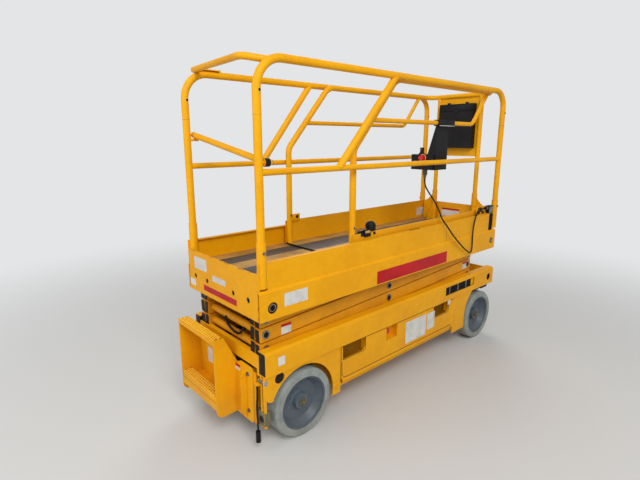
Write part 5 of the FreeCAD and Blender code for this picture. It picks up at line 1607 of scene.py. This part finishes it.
@dataclass
class ControlBox:
    """The control box on its stand, with its stick, button and plug."""

    rear_x: float = STOP.high.x
    front_x: float = 0.594
    near_y: float = -0.287
    far_y: float = CONTROLS.high.y
    low_z: float = CABLE_PLUG.high.z
    high_z: float = JOYSTICK.low.z
    seam: Flat = (0.030, 0.032)
    boot_rings: int = 4
    boot_pitch: float = 0.0032
    boot_radius: float = 0.018
    relief_rings: int = 5
    relief_pitch: float = 0.0062
    hook_y: Flat = (-0.3312, -0.329)
    hook_z: Flat = (1.7838, 1.7875)
    keys_x: tuple[Flat, ...] = ((0.452, 0.476), (0.484, 0.508))
    keys_y: Flat = (-0.2675, -0.2655)
    keys_z: Flat = (1.600, 1.606)

    def build(self, kit: Kit) -> None:
        """Adds the seam, screws, boots, collars, keys and bare plate."""
        x0, y0, x1, y1 = self.rear_x, self.near_y, self.front_x, self.far_y
        z1, body = self.high_z, "slide_out"
        blocks(kit, "box_seam", [((x0 - 0.0006, y0 - 0.0006, self.low_z + self.seam[0]),
                                  (x1 + 0.0006, y1 + 0.0006, self.low_z + self.seam[1]))],
               DARK, body, 0.0003)
        screws = [(x, y, z1) for x in (x0 + 0.012, x1 - 0.012) for y in (y0 + 0.070, y1 - 0.012)]
        kit.bolts.make("box_screws", screws, (0, 0, 1), STEEL, body, kit.shop, **BOX_SCREW)
        self.stick(kit, body)
        rounds(kit, "stop_collar", ring(0.0215, 0.028, 0.0035),
               [(x0, STOP.middle.y, STOP.middle.z)], (-1, 0, 0), COLLAR, body, 32)
        plug = CABLE_PLUG.middle
        reliefs = [(plug.x, plug.y, self.low_z - 0.004 - self.relief_pitch * i)
                   for i in range(self.relief_rings)]
        kit.rings.make("plug_reliefs", reliefs, (0, 0, 1), STEEL, body, kit.shop,
                       **{"Ring Radius": 0.0172, "Ring Thickness": 0.0016})
        blocks(kit, "hook_edge",
               [((CONTROLS.low.x + 0.008, self.hook_y[0], self.hook_z[0]),
                 (CONTROLS.high.x - 0.008, self.hook_y[1], self.hook_z[1]))], WHITE_PLATE, body,
               0.0004)
        blocks(kit, "panel_keys", [((low, self.keys_y[0], self.keys_z[0]),
                                    (high, self.keys_y[1], self.keys_z[1]))
                                   for low, high in self.keys_x], STEEL, body, 0.0005)
        label(kit, "box_plate", (x0 + 0.040, y1 - 0.075, z1),
              (x0 + 0.130, y1 - 0.020, z1 + PLATE_DEPTH), GREY_PLATE, body)

    def stick(self, kit: Kit, body: str) -> None:
        """The joystick's bellows and its trigger."""
        x, y = JOYSTICK.middle.x, JOYSTICK.middle.y
        for i in range(self.boot_rings):
            spot = (x, y, self.high_z + 0.0085 + self.boot_pitch * i)
            kit.rings.make(f"joystick_boot_{i}", [spot], (0, 0, 1), RUBBER, body, kit.shop,
                           **{"Ring Radius": self.boot_radius - 0.0022 * i,
                              "Ring Thickness": 0.0022})
        rounds(kit, "joystick_trigger", disc(0.005, 0.003),
               [(x - 0.0145, y, self.high_z + 0.036)], (-1, 0, 0), RED_PLASTIC, body)


@dataclass
class SlideOut:
    """The slide-out deck with its rails and boxes."""

    lock_y: float = -0.329
    lock_parts: tuple[tuple[Point, Point], ...] = (
        ((-0.352, -0.341, 1.098), (-0.292, -0.329, 1.146)),
        ((-0.378, -0.336, 1.104), (-0.352, -0.329, 1.128)),
        ((-0.262, -0.336, 1.102), (-0.240, -0.329, 1.120)))
    knob_x: float = -0.285
    knob_z: float = 1.150
    knob_pitch: float = 0.012
    knob_radii: tuple[float, ...] = (0.0305, 0.0325, 0.0305)
    lock_band: tuple[Point, Point] = ((-0.345, -0.3415, 1.122), (-0.300, -0.341, 1.138))
    lid_z: float = 1.987
    post_x: float = 1.215
    post_y: float = 0.200
    sleeve_radii: Flat = (0.0183, 0.0225)
    sleeve_z: float = 1.126
    sleeve_height: float = 0.11
    foot_bolt: Point = (-0.430, 0.308, 1.165)
    latch: tuple[Point, Point] = ((-0.411, 0.3180, 1.115), (-0.326, 0.3225, 1.168))
    latch_hole: Point = (-0.352, 0.3181, 1.146)
    edge: tuple[Point, Point] = ((-0.4565, -0.318, 0.9590), (-0.4495, 0.318, 0.9675))
    brace_x: Flat = (1.212, 1.217)
    brace_outline: tuple[Flat, ...] = (
        (0.205, 0.967), (0.205, 1.222), (0.222, 1.196), (0.244, 1.170), (0.270, 1.146),
        (0.296, 1.130), (0.315, 1.124), (0.315, 0.967))
    far_plate: tuple[Point, Point] = ((1.120, 0.3285, 0.985), (1.235, 0.3295, 1.060))
    front_x: float = 1.2475
    front_plates: tuple[tuple[str, Flat, Flat, Finish], ...] = (
        ("front_board_plate", (-0.045, 1.000), (0.135, 1.055), WHITE_PLATE),
        ("front_board_red", (-0.045, 1.056), (0.135, 1.072), RED_PLATE))

    def build(self, kit: Kit) -> None:
        """Dresses the slide-out deck and adds its fittings."""
        kit.shop.dress("slide_deck", SLIDE_PAINT)
        kit.shop.dress("slide_rails", RAIL)
        kit.shop.dress_all(("deck_lock", "document_box", "control_stand", "joystick"),
                           BLACK_PLASTIC)
        kit.shop.dress("stop_button", RED_PLASTIC)
        kit.shop.dress("cable_plug", GREY_PLASTIC)
        kit.shop.dress("charge_plug", BLACK_PLASTIC)
        ControlBox().build(kit)
        self.lock(kit)
        self.document_box(kit)
        self.fittings(kit)
        self.plates(kit)

    def lock(self, kit: Kit) -> None:
        """The deck lock's body, its knob's grips and its bare band."""
        blocks(kit, "lock_body", self.lock_parts, BLACK_PLASTIC, "slide_out", 0.003)
        for i, radius in enumerate(self.knob_radii):
            spot = (self.knob_x, self.lock_y, self.knob_z + self.knob_pitch * i)
            kit.rings.make(f"lock_grips_{i}", [spot], (0, 0, 1), BLACK_PLASTIC, "slide_out",
                           kit.shop, **{"Ring Radius": radius, "Ring Thickness": 0.0035})
        label(kit, "lock_band", *self.lock_band, GOLD_PLATE, "slide_out")

    def document_box(self, kit: Kit) -> None:
        """The lid's seam, rim and latch, and the bare tag, of the document box."""
        x, half, top, body = BOOK.low.x, BOOK.high.y, self.lid_z, "slide_out"
        for name, low, high, finish, bevel in (
                ("lid_seam", (x - 0.0006, -half - 0.0006, top - 0.062),
                 (x + 0.052, half + 0.0006, top - 0.059), DARK, 0.0003),
                ("lid_rim", (x - 0.003, -half + 0.010, top - 0.058),
                 (x, half - 0.010, top - 0.008), BLACK_PLASTIC, 0.001),
                ("latch", (x - 0.006, -0.022, top - 0.078), (x, 0.022, top - 0.046),
                 BLACK_PLASTIC, 0.001)):
            blocks(kit, "document_" + name, [(low, high)], finish, body, bevel)
        bottom = BOOK.low.z
        rear_label(kit, "document_tag", x, (0.070, bottom + 0.060), (0.130, bottom + 0.150),
                   GREY_PLATE, body)

    def fittings(self, kit: Kit) -> None:
        """Post sleeves, foot bolts, the far latch, the deck's edge and the post braces."""
        body = "slide_out"
        rounds(kit, "post_sleeves", ring(*self.sleeve_radii, self.sleeve_height),
               [(self.post_x, side.at(self.post_y), self.sleeve_z) for side in Side],
               (0, 0, 1), RAIL, body)
        x, y, z = self.foot_bolt
        kit.bolts.make("foot_bolts", [(x, side.at(y) - 0.0195, z) for side in Side], (0, -1, 0),
                       STEEL, body, kit.shop, **FOOT_BOLT)
        blocks(kit, "far_latch", [self.latch], RAIL, body, 0.002)
        # A dark disc of painted shade in the far latch's hole.
        rounds(kit, "far_latch_hole_shade", disc(0.012, 0.001, 0.0003), [self.latch_hole], (0, -1, 0),
               DARK, body)
        blocks(kit, "deck_edge", [self.edge], RUBBER, body)
        braces = bmesh.new()
        for side in Side:
            add_plate(braces, [(side.at(y), z) for y, z in self.brace_outline], self.brace_x, 0)
        kit.shop.piece("post_braces", braces, RAIL, body)

    def plates(self, kit: Kit) -> None:
        """Bare plates on the far and the front board."""
        label(kit, "far_board_plate", *self.far_plate, WHITE_PLATE, "slide_out")
        for name, low, high, finish in self.front_plates:
            rear_label(kit, name, self.front_x, low, high, finish, "slide_out")


@dataclass
class Cables:
    """The control cable and the charging lead."""

    control_route: tuple[Point, ...] = (
        (0.484, -0.182, 1.411), (0.484, -0.182, 1.362), (0.494, -0.214, 1.305),
        (0.497, -0.266, 1.248), (0.473, -0.328, 1.186), (0.434, -0.384, 1.124),
        (0.462, -0.421, 1.066), (0.512, -0.426, 1.012), (0.575, -0.425, 0.962),
        (0.640, -0.424, 0.915), (0.705, -0.422, 0.869), (0.768, -0.421, 0.833),
        (0.815, -0.418, 0.808), (0.857, -0.408, 0.832), (0.862, -0.404, 0.885),
        (0.859, -0.403, 0.945), (0.864, -0.402, 1.003), (0.878, -0.401, 1.060),
        (0.905, -0.399, 1.112), (0.950, -0.392, 1.145), (1.000, -0.380, 1.152),
        (1.054, -0.363, 1.134), (1.110, -0.363, 1.134))
    control_radius: float = 0.0055
    control_length: float = 1.433
    lead_route: tuple[Point, ...] = (
        (-1.163, -0.322, 0.400), (-1.163, -0.322, 0.345), (-1.167, -0.319, 0.290),
        (-1.166, -0.316, 0.235), (-1.163, -0.317, 0.180), (-1.163, -0.317, 0.118))
    lead_radius: float = 0.005
    lead_length: float = 0.282

    def build(self) -> None:
        """Makes both cords in place of their solids."""
        cable, line = self.cord("control_cable_loop", self.control_route, self.control_radius)
        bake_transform(cable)
        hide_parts("control_cable")
        lead, line = self.cord("charge_lead_drop", self.lead_route, self.lead_radius)
        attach(lead, "chassis")
        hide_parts("charge_lead")

    def cord(self, name: str, route: Sequence[Point], radius: float
             ) -> tuple[bpy.types.Object, list[Vector]]:
        """A cord's tube along its route's smooth line.

        Args:
            name: the cord's name.
            route: its control points.
            radius: its radius.

        Returns:
            The cord, which rides on nothing yet, and the points that it follows.
        """
        line = smooth_line(route, 10)
        shape = bmesh.new()
        add_tube(shape, line, radius, 14)
        bmesh.ops.recalc_face_normals(shape, faces=shape.faces)
        for face in shape.faces:
            face.smooth = len(face.verts) == 4
        obj = mesh_object(name, shape)
        obj.data.materials.append(RUBBER.material())
        log.info("%s: %d points along it", name, len(line))
        return obj, line


@dataclass
class Studio:
    """Floor, lamps and the camera at the photograph's angle."""

    eye: Point = (-2.3431, -2.1313, 1.6873)
    yaw: float = 0.8357
    pitch: float = 0.2235
    lens: float = 24.75
    floor_colour: Colour = srgb(206, 205, 202)
    backdrop: Colour = srgb(228, 229, 230)

    def build(self) -> None:
        """Sets up everything that isn't the lift."""
        self.camera()
        self.floor()
        self.world()
        for name, place_at, aim, size, power in (
                ("key_lamp", (-3.2, -5.0, 5.6), (0.0, 0.0, 0.8), 4.0, 360.0),
                ("fill_lamp", (-6.0, 1.5, 3.5), (0.0, 0.0, 0.8), 4.0, 110.0),
                ("back_lamp", (4.5, 4.0, 5.0), (0.0, 0.0, 0.8), 4.0, 135.0)):
            self.lamp(name, place_at, aim, size, power)
        bpy.context.scene.view_settings.view_transform = "Standard"

    def camera(self) -> None:
        """The camera where the photograph was taken from."""
        ahead = Vector((math.cos(self.yaw) * math.cos(self.pitch),
                        math.sin(self.yaw) * math.cos(self.pitch), -math.sin(self.pitch)))
        right = Vector((math.sin(self.yaw), -math.cos(self.yaw), 0.0))
        up = right.cross(ahead)
        data = bpy.data.cameras.new("photo_camera")
        data.lens = self.lens
        data.sensor_width = 36.0
        data.sensor_fit = "HORIZONTAL"
        data.clip_end = 100.0
        camera = linked("photo_camera", data)
        turn = Matrix((right, up, -ahead)).transposed().to_4x4()
        camera.matrix_world = Matrix.Translation(Vector(self.eye)) @ turn
        bpy.context.scene.camera = camera

    def floor(self) -> None:
        """A pale floor that fades into the backdrop."""
        shape = bmesh.new()
        bmesh.ops.create_grid(shape, x_segments=1, y_segments=1, size=30.0)
        floor = mesh_object("studio_floor", shape)
        floor.data.materials.append(self.floor_material())

    def floor_material(self) -> bpy.types.Material:
        """A matt floor that, as the camera sees it, takes the backdrop's colour far off."""
        made = bpy.data.materials.new("studio_floor")
        nodes = emptied_tree(made)
        matt = nodes.add("ShaderNodeBsdfPrincipled", {"Base Color": (*self.floor_colour, 1.0),
                                                      "Roughness": 0.85,
                                                      "Specular IOR Level": 0.2})
        glow = nodes.add("ShaderNodeEmission", {"Color": (*self.backdrop, 1.0)})
        far = nodes.add("ShaderNodeVectorMath", {0: place(nodes)}, operation="LENGTH")
        share = nodes.ramp(far.outputs["Value"], 1.9, 5.5)
        path = nodes.add("ShaderNodeLightPath")
        seen = nodes.math("MAXIMUM", path.outputs["Is Camera Ray"],
                          path.outputs["Is Glossy Ray"])
        both = nodes.add("ShaderNodeMixShader", {0: nodes.math("MULTIPLY", share, seen),
                                                 1: matt.outputs[0], 2: glow.outputs[0]})
        nodes.add("ShaderNodeOutputMaterial", {"Surface": both.outputs[0]})
        return made

    def world(self) -> None:
        """An even pale sky."""
        world = bpy.data.worlds.new("studio_sky")
        bpy.context.scene.world = world
        nodes = emptied_tree(world)
        path = nodes.add("ShaderNodeLightPath")
        seen = nodes.add("ShaderNodeBackground", {"Color": (*self.backdrop, 1.0),
                                                  "Strength": 1.0})
        light = nodes.add("ShaderNodeBackground", {"Color": (0.93, 0.96, 1.0, 1.0),
                                                   "Strength": 0.45})
        both = nodes.add("ShaderNodeMixShader", {0: path.outputs["Is Camera Ray"],
                                                 1: light.outputs[0], 2: seen.outputs[0]})
        nodes.add("ShaderNodeOutputWorld", {0: both.outputs[0]})

    def lamp(self, name: str, place_at: Point, aim: Point, size: float, power: float) -> None:
        """A square soft lamp that points at a spot."""
        data = bpy.data.lights.new(name, "AREA")
        data.size = size
        data.energy = power
        lamp = linked(name, data)
        lamp.location = place_at
        lamp.rotation_euler = (Vector(aim) - Vector(place_at)).to_track_quat("-Z", "Y").to_euler()


def main() -> None:
    """Builds the studio and the cords, then the lift's sub-assemblies in order."""
    kit = Kit()
    Studio().build()
    Cables().build()
    for part in (Chassis(), EntryStep(), Wheels(), Scissor(), Deck(), SlideOut()):
        part.build(kit)
    log.info("%d pieces made", kit.shop.made)
    bpy.context.view_layer.update()


if __name__ == "__main__":
    main()
